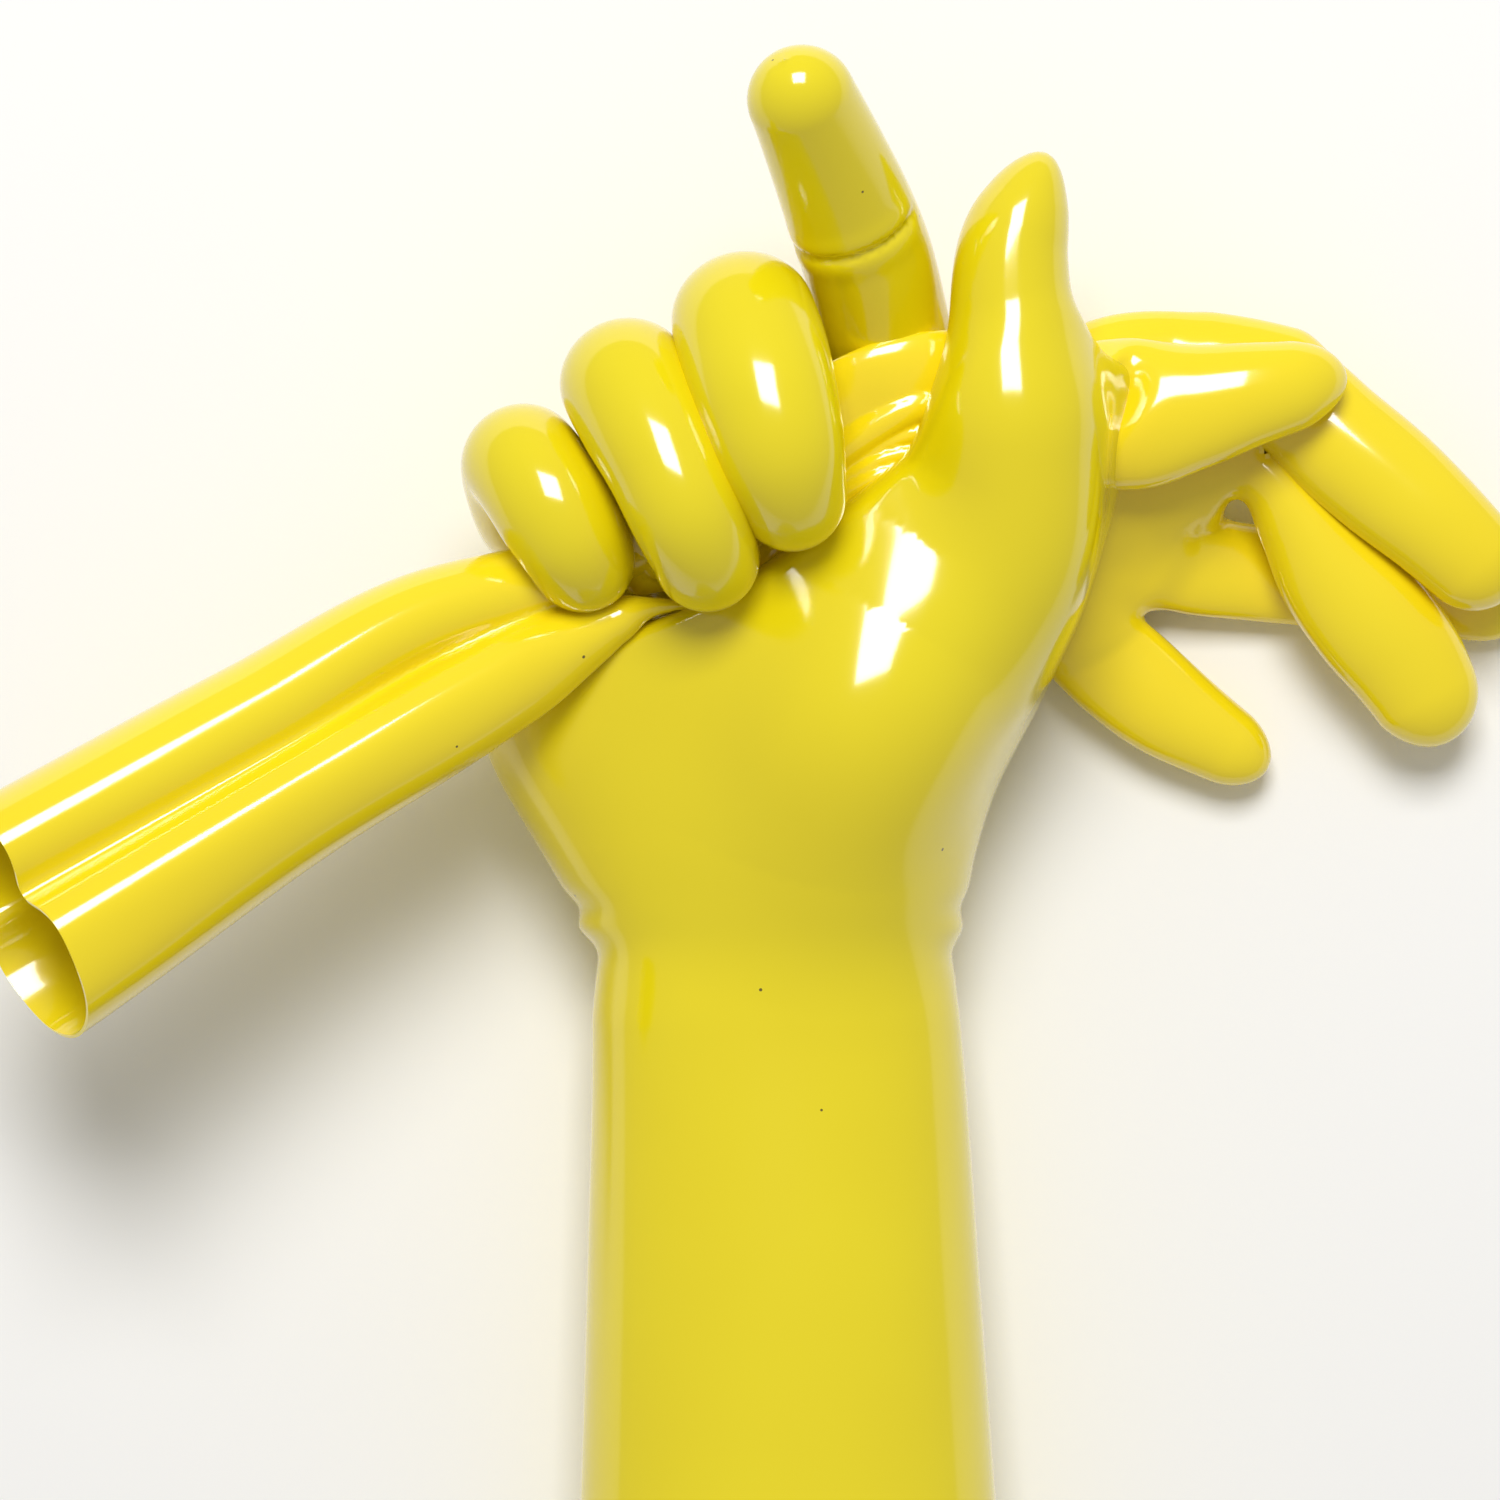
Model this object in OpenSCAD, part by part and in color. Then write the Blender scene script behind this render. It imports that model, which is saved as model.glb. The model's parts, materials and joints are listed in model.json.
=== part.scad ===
// Two thin dipped-latex household gloves. The filled glove keeps the shape of a right hand that lies
// on its back: its index finger and thumb stand out, and its other three fingers close on the empty
// glove, which is bunched at its waist, with its sleeve out to the left and its hand out to the right.
// Each glove is one dipped moulding. It is split here at its flex lines, where the rubber folds, so
// that each zone between two folds can turn: the far zone carries a thin round socket that slides
// inside the near zone's lip, and the two lips close a crease on the grip side.

/* [Rubber] */
// Wall of the dipped rubber
wall = 0.6; // [0.5:0.05:0.8]
// Clearance between zones that slide past each other at a flex line
clear = 0.3; // [0.25:0.05:0.4]

/* [Sleeve of the filled glove] */
// Length of the sleeve from the wrist fold to the cut edge
sleeve_len = 131; // [90:1:170]
// Width of the sleeve at its cut edge
cuff_w = 77; // [66:1:95]
// Height of the sleeve at its cut edge
cuff_h = 63; // [52:1:76]
// Width of the wrist
wrist_w = 64; // [54:1:77]
// Height of the wrist
wrist_h = 46; // [40:1:52]
// Most that the wrist bends the hand up
wrist_bend = 45; // [20:5:50]

/* [Palm of the filled glove] */
// Length of the palm from the wrist fold to the knuckle of the middle finger
palm_len = 85; // [76:1:102]
// Width of the palm across its widest part
palm_w = 104; // [96:1:116]
// Height of the palm's hollow above the table
palm_h = 35; // [31:1:36]
// Height of the ball of the thumb above the table
thenar_h = 53; // [48:1:60]
// Height of the knuckles above the table
knuckle_h = 16; // [14:0.5:18]

/* [Fingers of the filled glove] */
// Width of the index finger at its knuckle
index_w = 21; // [18:0.5:24]
// Width of the middle finger at its knuckle
middle_w = 19; // [16:0.5:23]
// Width of the ring finger at its knuckle
ring_w = 18.8; // [16:0.5:23]
// Width of the little finger at its knuckle
little_w = 19; // [16:0.5:23]
// Width of the thumb at its knuckle
thumb_w = 21; // [18:0.5:24]
// Length of the index finger's first segment
index_len = 47; // [40:0.5:56]
// Length of the middle finger's first segment
middle_len = 48; // [44:0.5:56]
// Length of the ring finger's first segment
ring_len = 45; // [41:0.5:53]
// Length of the little finger's first segment
little_len = 39; // [36:0.5:46]
// Length of the thumb's first segment
thumb_len = 31; // [26:0.5:37]

/* [Empty glove] */
// Length of the empty glove's sleeve from the fist to its cut edge
held_sleeve_len = 112; // [80:1:140]
// Width of the folded sleeve at its cut edge
held_cuff_w = 46; // [38:1:55]
// Height of the folded sleeve at its cut edge
held_cuff_h = 36; // [30:1:43]
// Width of the bunched waist inside the fist
waist_w = 20; // [16:0.5:20]
// Height of the bunched waist inside the fist
waist_h = 11; // [9:0.5:11]
// Width of the empty hand across its palm
held_palm_w = 50; // [42:1:54]
// Height of the empty hand's palm
held_palm_h = 13; // [10:0.5:15]

/* [Hidden] */

filled_yellow = "#E8D828";
empty_yellow = "#F5E020";

finger_sides = 12;      // flat strips round a finger
sleeve_sides = 24;      // flat strips round a sleeve or a palm
lap = 4;                // degrees that a socket stays under the near zone's lip at full bend
up = [0, 0, 1];

// ---------------------------------------------------------------- rings and skins

// The direction at angle e in the bending plane of the hinge axis a, from forward direction f.
function ahead(a, f, e) = cos(e) * f + sin(e) * cross(a, f);

// The hinge axis and the forward direction of a zone that leans l degrees from +Y in plan.
function lean_axis(l) = [cos(l), sin(l), 0];
function lean_ahead(l) = [-sin(l), cos(l), 0];

// An oval ring round centre c: w and h are its half sizes along the axis a and across it. The grip
// half and the back half each tilt about the axis, which gives the lips of a flex line.
function hoop(n, c, a, t, w, h, grip = 0, back = 0, off = 0) =
    let (p = cross(a, t))
    [for (j = [0:n - 1])
        let (q = 360 * (j + 0.5) / n, d = h * sin(q),
             tilt = d >= 0 ? grip : -back)
        c + off * t + w * cos(q) * a + d * (cos(tilt) * p + sin(tilt) * t)];

function flat(lists) = [for (l = lists) each l];
function backwards(l) = [for (i = [len(l) - 1:-1:0]) l[i]];
function mix(p, q, k) = p * (1 - k) + q * k;

// The triangles between ring i and ring k of n points.
function band(n, i, k) =
    [for (j = [0:n - 1]) let (m = (j + 1) % n)
        each [[i * n + j, i * n + m, k * n + m], [i * n + j, k * n + m, k * n + j]]];

// A skin through rings whose last ring joins the first: a tube that is open at both ends.
module open_skin(rings) {
    n = len(rings[0]);
    m = len(rings);
    polyhedron(flat(rings), flat([for (i = [0:m - 1]) band(n, i, (i + 1) % m)]), convexity = 6);
}

// A skin through rings that closes on a point at each end.
module closed_skin(start, rings, end) {
    n = len(rings[0]);
    m = len(rings);
    faces = concat(flat([for (i = [0:m - 2]) band(n, i, i + 1)]),
                   [for (j = [0:n - 1]) [n * m, (j + 1) % n, j]],
                   [for (j = [0:n - 1]) [(m - 1) * n + j, (m - 1) * n + (j + 1) % n, n * m + 1]]);
    polyhedron(concat(flat(rings), [start, end]), faces, convexity = 6);
}

// ---------------------------------------------------------------- flex lines

// A flex line is [centre, axis, forward, near angle, far angle, least bend, most bend, w, h].

// The lip of the near zone, shrunk by "inset" for its inner face.
function near_lip(n, j, inset, off = undef) =
    hoop(n, j[0], j[1], ahead(j[1], j[2], j[3]), j[7] - inset, j[8] - inset,
         -j[6] / 2, j[5] / 2, is_undef(off) ? -clear : off);

// The lip of the far zone.
function far_lip(n, j, inset) =
    hoop(n, j[0], j[1], ahead(j[1], j[2], j[4]), j[7] - inset, j[8] - inset,
         j[6] / 2, -j[5] / 2, clear);

// The round socket of the far zone, from its deep end to its lip.
function socket(n, j, inset, steps = 2) =
    let (t = ahead(j[1], j[2], j[4]),
         deep = [j[5] - j[6] / 2 - lap, j[5] / 2 - j[6] - lap],
         lip = [j[6] / 2, -j[5] / 2])
    [for (i = [0:steps])
        hoop(n, j[0], j[1], t, j[7] - inset, j[8] - inset,
             mix(deep[0], lip[0], i / steps), mix(deep[1], lip[1], i / steps),
             i == steps ? clear : 0)];

// A straight zone between two flex lines, as a thin tube. "swell" widens its middle.
function tube_rings(n, j, k, inset, swell) =
    let (t = ahead(j[1], j[2], j[4]))
    [for (s = [0.3, 0.5, 0.7])
        hoop(n, mix(j[0], k[0], s), j[1], t, mix(j[7], k[7], s) + swell * sin(180 * s) - inset,
             mix(j[8], k[8], s) + swell * sin(180 * s) - inset)];

module tube_zone(n, j, k, swell = 0.4) {
    outer = concat(socket(n, j, wall + clear), [far_lip(n, j, 0)],
                   tube_rings(n, j, k, 0, swell), [near_lip(n, k, 0)]);
    inner = concat(socket(n, j, 2 * wall + clear), tube_rings(n, j, k, wall, swell),
                   [near_lip(n, k, wall)]);
    open_skin(concat(outer, backwards(inner)));
}

// The path of a tip zone in its bending plane: straight, an arc round the end joint, straight.
// It gives [forward, up, angle] at length s. "line" is [angle, first length, bend, radius].
function tip_path(line, s) =
    let (e = line[0], bend = line[2], r = line[3],
         s1 = line[1] - r * tan(abs(bend) / 2),
         arc = r * abs(bend) * PI / 180,
         turn = sign(bend) * min(max(s - s1, 0), arc) / r * 180 / PI,
         g = sign(bend) * r,
         corner = s1 * [cos(e), sin(e)] + g * [sin(e + turn) - sin(e), cos(e) - cos(e + turn)])
    s <= s1 ? [s * cos(e), s * sin(e), e]
    : let (rest = max(s - s1 - arc, 0))
      [corner[0] + rest * cos(e + turn), corner[1] + rest * sin(e + turn), e + turn];

// The rings of a closed fingertip past flex line j. "tip" is [first length, bend, bend radius,
// end length, half width at the end joint, half height there, half width of the end, half height].
function tip_rings(n, j, tip, inset) =
    let (line = [j[4], tip[0], tip[1], tip[2]],
         s1 = tip[0] - tip[2] * tan(abs(tip[1]) / 2),
         s2 = s1 + tip[2] * abs(tip[1]) * PI / 180,
         s3 = s2 + tip[3] - tip[2] * tan(abs(tip[1]) / 2),
         along = [mix(j[8] * 1.1, s1, 0.35), s1, mix(s1, s2, 0.5), s2],
         domes = [0, 38, 68])
    concat([for (s = along)
                let (p = tip_path(line, s), k = min(s / mix(s1, s2, 0.5), 1),
                     m = max((s - mix(s1, s2, 0.5)) / (s3 - mix(s1, s2, 0.5)), 0))
                hoop(n, j[0] + p[0] * j[2] + p[1] * cross(j[1], j[2]), j[1],
                     ahead(j[1], j[2], p[2]),
                     mix(mix(j[7], tip[4], k), tip[6], m) - inset,
                     mix(mix(j[8], tip[5], k), tip[7], m) - inset)],
           [for (q = domes)
                let (p = tip_path(line, s3 + (tip[7] - inset) * sin(q)))
                hoop(n, j[0] + p[0] * j[2] + p[1] * cross(j[1], j[2]), j[1],
                     ahead(j[1], j[2], p[2]), (tip[6] - inset) * cos(q), (tip[7] - inset) * cos(q))]);

function tip_pole(j, tip, inset) =
    let (line = [j[4], tip[0], tip[1], tip[2]],
         s3 = tip[0] + tip[3] - 2 * tip[2] * tan(abs(tip[1]) / 2) + tip[2] * abs(tip[1]) * PI / 180,
         p = tip_path(line, s3 + tip[7] - inset))
    j[0] + p[0] * j[2] + p[1] * cross(j[1], j[2]);

module tip_zone(n, j, tip) {
    outer = concat(socket(n, j, wall + clear), [far_lip(n, j, 0)], tip_rings(n, j, tip, 0));
    inner = concat(socket(n, j, 2 * wall + clear), tip_rings(n, j, tip, wall));
    closed_skin(tip_pole(j, tip, wall), concat(backwards(inner), outer), tip_pole(j, tip, 0));
}

// ---------------------------------------------------------------- the filled glove's skeleton

wrist_c = [0, 3, wrist_h / 2 - 0.8];
wrist = [wrist_c, [1, 0, 0], [0, 1, 0], 0, 0, 0, wrist_bend, wrist_w / 2, wrist_h / 2];
// The wrist's socket is lower than its lip by the height that the flat underside takes away.
wrist_socket = [wrist_c, [1, 0, 0], [0, 1, 0], 0, 0, 0, wrist_bend, wrist_w / 2, wrist_h / 2 - 0.8];

// The closed fingers lean towards the thumb side as they curl, each more than the one before it.
index_lean = 16.5;
middle_lean = 15;
ring_lean = 23;
little_lean = 27;

// A point of the grip stands y mm past the middle finger's knuckle: the thumb and the whole empty
// glove move with the row of knuckles when the palm is made longer or shorter.
function grip(x, y, z) = [x, middle_knuckle[1] + y, z];

// Each knuckle stands beside the next at half of both widths and a gap, with the row's stagger.
knuckle_gap = 0.5;
function beside(from, side, lean, stagger) =
    from + side * lean_axis(lean) + stagger * lean_ahead(lean);

middle_knuckle = [0.4, wrist_c[1] + palm_len, knuckle_h];
ring_knuckle = beside(middle_knuckle, -(middle_w + ring_w) / 2 - knuckle_gap, 17, -2.5);
little_knuckle = beside(ring_knuckle, -(ring_w + little_w) / 2 - knuckle_gap - 2, 25, -1.2)
                 + [0, 0, -1];
index_knuckle = beside(middle_knuckle, (middle_w + index_w) / 2 + knuckle_gap + 2.6, 14, -7)
                + [0, 0, 4];
thumb_knuckle = grip(45, -12, 51);

// A finger's angles are those of the palm, its first and its second segment above the table.
function base_flex(knuckle, lean, e, open, w, h) =
    [knuckle, lean_axis(lean), lean_ahead(lean), e[0], e[1],
     open[0], open[1], w, h];
function mid_flex(b, l, e, open, w, h) =
    [b[0] + l * ahead(b[1], b[2], b[4]), b[1], b[2], b[4], e, open[0], open[1], w, h];

// A closed finger is at its most bend at rest, and opens to the least bend given here.
open_knuckle = 6;
open_middle = 25;

index_root = base_flex(index_knuckle, index_lean, [8, 41], [0, 35], index_w / 2, 11.2);
index_mid = mid_flex(index_root, index_len, 46.5, [0, 60], 10.2, 10.4);
index_tip = [20, 4, 30, 19, 9.4, 9.4, 8.6, 8.4];

middle_root = base_flex(middle_knuckle, middle_lean, [8, 66], [open_knuckle, 58], middle_w / 2, 11);
middle_mid = mid_flex(middle_root, middle_len, 157, [open_middle, 91], 11, 10.6);
middle_tip = [26, 82, 8, 14, 9.6, 10, 8, 8];

ring_root = base_flex(ring_knuckle, ring_lean, [8, 67], [open_knuckle, 59], ring_w / 2, 11);
ring_mid = mid_flex(ring_root, ring_len, 154, [open_middle, 87], 9.8, 10.4);
ring_tip = [25, 77, 8, 14, 9.3, 9.8, 8, 8];

little_root = base_flex(little_knuckle, little_lean, [8, 68], [open_knuckle, 60], little_w / 2, 10);
little_mid = mid_flex(little_root, little_len, 130, [open_middle, 62], 9.2, 9.4);
little_tip = [20, 88, 8, 11, 8.8, 9, 7.8, 7.8];

thumb_root = [thumb_knuckle, up, [0, 1, 0], -20, 3, 12, 24, thumb_w / 2, 11];
thumb_mid = [thumb_knuckle + thumb_len * ahead(up, [0, 1, 0], 3), up, [0, 1, 0], 3, -8, -19, 0,
             9.8, 10];
thumb_tip = [10, -2, 40, 13, 9.4, 9.2, 7.6, 6.8];

// ---------------------------------------------------------------- sleeve and palm

// A ring of the sleeve, with its underside flat on the table.
function sleeve_ring(s, inset) =
    let (y = wrist_c[1] - s, k = pow(s / sleeve_len, 0.8),
         w = mix(wrist_w, cuff_w, k) / 2, h = mix(wrist_h, cuff_h, k) / 2)
    on_table(hoop(sleeve_sides, [0, y, h - 0.8], [1, 0, 0], [0, 1, 0], w - inset, h - inset), inset);
function on_table(ring, low) = [for (p = ring) [p[0], p[1], max(p[2], low)]];

module worn_sleeve() color(filled_yellow) {
    steps = [for (k = [1, 0.8, 0.6, 0.4, 0.22]) k * sleeve_len];
    outer = concat([for (s = steps) sleeve_ring(s, 0)], [on_table(near_lip(sleeve_sides, wrist, 0), 0)]);
    inner = concat([for (s = steps) sleeve_ring(s, wall)],
                   [on_table(near_lip(sleeve_sides, wrist, wall), wall)]);
    open_skin(concat(outer, backwards(inner)));
}

// A ring of the palm at length s from the wrist fold. Its top swells at the heel of the hand on the
// little finger's side, and it slants back there with the row of knuckles.
row_fall = 0.5;
palm_left = palm_w / 2 + 1;
palm_right = palm_w / 2 - 8;
function palm_ring(s, inset) =
    let (k = s / palm_len,
         left = mix(wrist_w / 2, palm_left, sin(90 * min(k / 0.72, 1))),
         right = mix(wrist_w / 2, palm_right, sin(90 * min(k / 0.65, 1))),
         fall = pow(max(k - 0.55, 0) / 0.33, 1.3),
         top = mix(mix(wrist_h - 0.8, palm_h, min(k / 0.35, 1)), knuckle_h + 7, fall),
         c = [(right - left) / 2, wrist_c[1] + s, top * 0.44], w = (left + right) / 2)
    [for (j = [0:sleeve_sides - 1])
        let (q = 360 * (j + 0.5) / sleeve_sides, x = (w - inset) * cos(q),
             bulge = 5 * exp(-pow((x + w * 0.55) / 14, 2)) * sin(180 * min(k / 0.9, 1)),
             high = top + bulge - c[2] - inset, low = c[2] + 0.8 - inset,
             z = sin(q) >= 0 ? high * pow(sin(q), 0.75) : low * sin(q))
        [c[0] + x, c[1] - row_fall * k * max(-c[0] - x, 0), max(c[2] + z, inset)]];

// The solid inside the palm's skin at depth "inset": 0 for its outer face, wall for its inner face.
// The inner one reaches out of the wrist socket, so that the palm is open there.
module palm_solid(inset) {
    deep = inset > 0 ? 2 * wall + clear : wall + clear;
    hole = socket(sleeve_sides, wrist_socket, deep);
    lip = inset > 0 ? [] : [on_table(far_lip(sleeve_sides, wrist, 0), 0)];
    rings = concat(hole, lip,
                   [for (k = [0.2, 0.35, 0.5, 0.65]) palm_ring(k * palm_len, inset)],
                   [for (k = [0.78, 0.88]) palm_ring(k * palm_len - inset, inset)]);
    start = wrist_c + [0, inset > 0 ? -wrist_h : -wrist_h / 3, 0];
    closed_skin(start, rings, [-2, wrist_c[1] + palm_len * 0.9 - inset, knuckle_h]);
}

// The short root of a finger, from inside the palm to its flex line.
module root_solid(n, j, reach, inset) {
    t = ahead(j[1], j[2], j[3]);
    far = [for (s = [reach - inset, reach / 2])
        hoop(n, j[0] - s * t, j[1], t, j[7] - inset, j[8] - inset)];
    lip = near_lip(n, j, inset, inset > 0 ? clear * 3 : -clear);
    closed_skin(j[0] - (reach + 1 - inset) * t, concat(far, [lip]), j[0] + (inset > 0 ? 3 : -1) * clear * t);
}

// A round bar of rubber-covered flesh between two balls, each [centre, radius].
module bar(a, b, inset) {
    hull() {
        translate(a[0]) sphere(r = a[1] - inset, $fn = 14);
        translate(b[0]) sphere(r = b[1] - inset, $fn = 14);
    }
}

// The balls under the thumb's fleshy root and along the knuckle row.
heel = [[18, wrist_c[1] + 27, 26], 21];
thenar = [[27, wrist_c[1] + 42, thenar_h - 18.5], 18.5];
thumb_neck = [thumb_knuckle - 13 * ahead(up, [0, 1, 0], thumb_root[3]) + [0, 0, -2], 12];
hypothenar = [[-27, wrist_c[1] + 26, 20], 18];
function behind_knuckle(j, back, r) = [j[0] - back * ahead(j[1], j[2], 0) + [0, 0, r - j[0][2] + 1], r];

module palm_form(inset) {
    palm_solid(inset);
    bar(heel, thenar, inset);
    bar(thenar, thumb_neck, inset);
    bar(hypothenar, behind_knuckle(little_root, 22, 13), inset);
    bar(hypothenar, behind_knuckle(ring_root, 24, 14), inset);
    for (j = [index_root, middle_root, ring_root, little_root]) root_solid(finger_sides, j, 20, inset);
    root_solid(finger_sides, thumb_root, 14, inset);
}

module worn_palm() color(filled_yellow) difference() {
    intersection() {
        palm_form(0);
        translate([-200, -100, 0]) cube([400, 400, 200]);
    }
    intersection() {
        palm_form(wall);
        translate([-200, -100, wall]) cube([400, 400, 200]);
    }
}

module worn_thumb_base() color(filled_yellow) tube_zone(finger_sides, thumb_root, thumb_mid);
module worn_thumb_tip() color(filled_yellow) tip_zone(finger_sides, thumb_mid, thumb_tip);
module worn_index_base() color(filled_yellow) tube_zone(finger_sides, index_root, index_mid);
module worn_index_tip() color(filled_yellow) tip_zone(finger_sides, index_mid, index_tip);
module worn_middle_base() color(filled_yellow) tube_zone(finger_sides, middle_root, middle_mid, 0);
module worn_middle_tip() color(filled_yellow) tip_zone(finger_sides, middle_mid, middle_tip);
module worn_ring_base() color(filled_yellow) tube_zone(finger_sides, ring_root, ring_mid, 0);
module worn_ring_tip() color(filled_yellow) tip_zone(finger_sides, ring_mid, ring_tip);
module worn_little_base() color(filled_yellow) tube_zone(finger_sides, little_root, little_mid, 0);
module worn_little_tip() color(filled_yellow) tip_zone(finger_sides, little_mid, little_tip);

// ---------------------------------------------------------------- the empty glove

// Its flex lines: at the fist's two exits, and at the roots of its five empty fingers.
held_sleeve_lean = 120.5;
held_palm_lean = -100;
sleeve_root = [grip(-37, -30, 46), lean_axis(held_sleeve_lean), lean_ahead(held_sleeve_lean), 4, 12,
               2, 30, waist_w * 0.6, waist_h * 0.56];
palm_root = [grip(49, 1, 25), lean_axis(held_palm_lean), lean_ahead(held_palm_lean), -30, -22,
             -2, 17, 13, 7.5];

function empty_finger(root, lean, near, far, down, lift, w, h) =
    [root, lean_axis(lean), lean_ahead(lean), near, far, far - near - down, far - near + lift, w, h];
held_thumb_root = empty_finger(grip(65, 10, 32), -92, 40, 3, 0, 20, 11, 6.3);
held_index_root = empty_finger(grip(98, 10, 20), -136.5, 0, -3, 2, 25, 8.8, 6);
held_middle_root = empty_finger(grip(90, -8, 17.6), -145, 0, -3, 0, 25, 8.6, 5.4);
held_ring_root = empty_finger(grip(87, -24.5, 4.8), -98, -6, -1, 1, 2, 8.6, 3.8);
held_little_root = empty_finger(grip(67, -38, 9), -126, 0, -2, 3, 40, 9, 6);
held_thumb_tip = [15, -6, 30, 14, 12, 7.6, 8, 6.4];
held_index_tip = [24, -2, 40, 26, 9.6, 6.6, 8, 5.8];
held_middle_tip = [24, -4, 40, 26, 9.2, 6.2, 8.2, 5.8];
held_ring_tip = [22, 2, 40, 22, 8.6, 3.8, 8, 3.8];
held_little_tip = [12, -3, 40, 14, 9.2, 6.4, 8, 5.8];

// The bunched waist: its pleats run along it, from the sleeve's exit, under the fingertips, over the
// index finger's root and down past the thumb. Each station is [centre, lean, angle, roll, width,
// height], the last two as shares of the waist's own.
waist_path = [[grip(-26, -24.8, 43.5), -61, 0, 0, 1, 1], [grip(-12, -17.2, 43.2), -62, 0, 0, 1, 1],
              [grip(2, -10.5, 43.4), -62, 6, -8, 1, 1], [grip(13, -4.5, 45), -64, 10, -22, 1.12, 1],
              [grip(23, 0.5, 46.5), -74, -8, -28, 1.2, 1], [grip(30.5, 2, 43.2), -84, -46, -14, 1.14, 0.8],
              [grip(36.5, 2.5, 35.8), -94, -52, -4, 1.14, 0.76]];
waist_sides = 20;
pleat = 0.07;           // depth of a pleat, as a share of the half width
waist_run = 4;          // smooth length behind each of its two lips

function turned(ring) = let (n = len(ring)) [for (j = [0:n - 1]) ring[(j + n / 2) % n]];
function pleated(ring, c) =
    [for (j = [0:len(ring) - 1]) c + (ring[j] - c) * (1 - pleat * (1 + cos(180 * j)))];
function waist_ring(s, inset) =
    let (a = lean_axis(s[1]), t = ahead(a, lean_ahead(s[1]), s[2]))
    pleated(hoop(waist_sides, s[0], ahead(t, a, -s[3]), t,
                 s[4] * waist_w / 2 - inset, s[5] * waist_h / 2 - inset), s[0]);

function waist_skin(inset) =
    concat([for (s = [-clear, -waist_run]) turned(backwards(near_lip(waist_sides, sleeve_root, inset, s)))],
           [for (s = waist_path) waist_ring(s, inset)],
           [for (s = [-waist_run, -clear]) near_lip(waist_sides, palm_root, inset, s)]);

module held_waist() color(empty_yellow) {
    outer = waist_skin(0);
    inner = waist_skin(wall);
    open_skin(concat(outer, backwards(inner)));
}

// A ring of the folded sleeve at length s from the fist: two lobes with a trough between them.
fold_sides = 24;
function fold_ring(s, inset) =
    let (j = sleeve_root, k = s / held_sleeve_len, t = ahead(j[1], j[2], j[4]), p = cross(j[1], t),
         w = mix(waist_w * 0.62, held_cuff_w / 2, pow(k, 0.75)) - inset,
         h = mix(waist_h * 0.62, held_cuff_h / 2, pow(k, 0.8)) - inset,
         trough = min(k * 4, 1) * mix(4, 11, k), c = j[0] + s * t)
    [for (i = [0:fold_sides - 1])
        let (q = 360 * (i + 0.5) / fold_sides, x = cos(q), d = sin(q),
             dip = trough * exp(-pow((x - 0.1) / 0.3, 2)))
        c + w * x * j[1] + (d > 0 ? h * d - dip * d : h * d) * p];

module held_sleeve() color(empty_yellow) {
    steps = [for (k = [0.14, 0.33, 0.55, 0.78, 1]) k * held_sleeve_len];
    outer = concat(socket(fold_sides, sleeve_root, wall + clear), [far_lip(fold_sides, sleeve_root, 0)],
                   [for (s = steps) fold_ring(s, 0)]);
    inner = concat(socket(fold_sides, sleeve_root, 2 * wall + clear), [for (s = steps) fold_ring(s, wall)]);
    open_skin(concat(outer, backwards(inner)));
}

// The empty hand lies on the table beside the filled one, nearly flat.
// Its stations are [centre, lean, angle, half width, half height].
held_half = held_palm_w / 2;
held_high = held_palm_h / 2;
held_palm_path = [[grip(57, -0.5, 20.6), -98, -26, held_half * 0.75, held_high * 1.1],
                  [grip(64.5, -2.5, 17), -96, -22, held_half * 0.94, held_high * 1.05],
                  [grip(72, -4.5, 14.4), -94, -12, held_half, held_high],
                  [grip(79, -5.5, 13.4), -93, 0, held_half * 0.84, held_high * 0.9]];
held_sides = 24;
function held_ring_at(s, inset, off = 0) =
    hoop(held_sides, s[0], lean_axis(s[1]), ahead(lean_axis(s[1]), lean_ahead(s[1]), s[2]),
         s[3] - inset, s[4] - inset, off = off);

module held_palm_solid(inset) {
    deep = inset > 0 ? 2 * wall + clear : wall + clear;
    t = ahead(palm_root[1], palm_root[2], palm_root[4]);
    closed_skin(palm_root[0] - (inset > 0 ? 20 : 4) * t,
                concat(socket(held_sides, palm_root, deep),
                       inset > 0 ? [] : [far_lip(held_sides, palm_root, 0)],
                       [for (i = [0:2]) held_ring_at(held_palm_path[i], inset)],
                       [held_ring_at(held_palm_path[3], inset, -inset)]),
                grip(83.5 - inset, -5, 13));
}

// A flattened ball, for the soft webs between the empty fingers.
module pad(c, w, h, inset) {
    translate(c) scale([1, 1, (h - inset) / (w - inset)]) sphere(r = w - inset, $fn = 12);
}

module web(j, back, c, w, h, inset) {
    r = j[8] - 0.4;
    hull() {
        pad(j[0] - back * ahead(j[1], j[2], j[3]), 0.5 * j[7], r, inset);
        pad(c, w, h, inset);
    }
}

module held_form(inset) {
    held_palm_solid(inset);
    web(held_thumb_root, 10, grip(68, 4, 17), 11, 6, inset);
    web(held_index_root, 10, grip(76, 4, 15), 11, 6, inset);
    web(held_middle_root, 10, grip(75, -4, 14.5), 11, 6, inset);
    web(held_ring_root, 10, grip(72, -14, 12.5), 11, 5.5, inset);
    web(held_little_root, 10, grip(67, -16, 14), 11, 6, inset);
    root_solid(finger_sides, held_thumb_root, 6, inset);
    for (j = [held_index_root, held_middle_root, held_ring_root, held_little_root])
        root_solid(finger_sides, j, 10, inset);
}

module held_palm() color(empty_yellow) difference() {
    held_form(0);
    held_form(wall);
}

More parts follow.
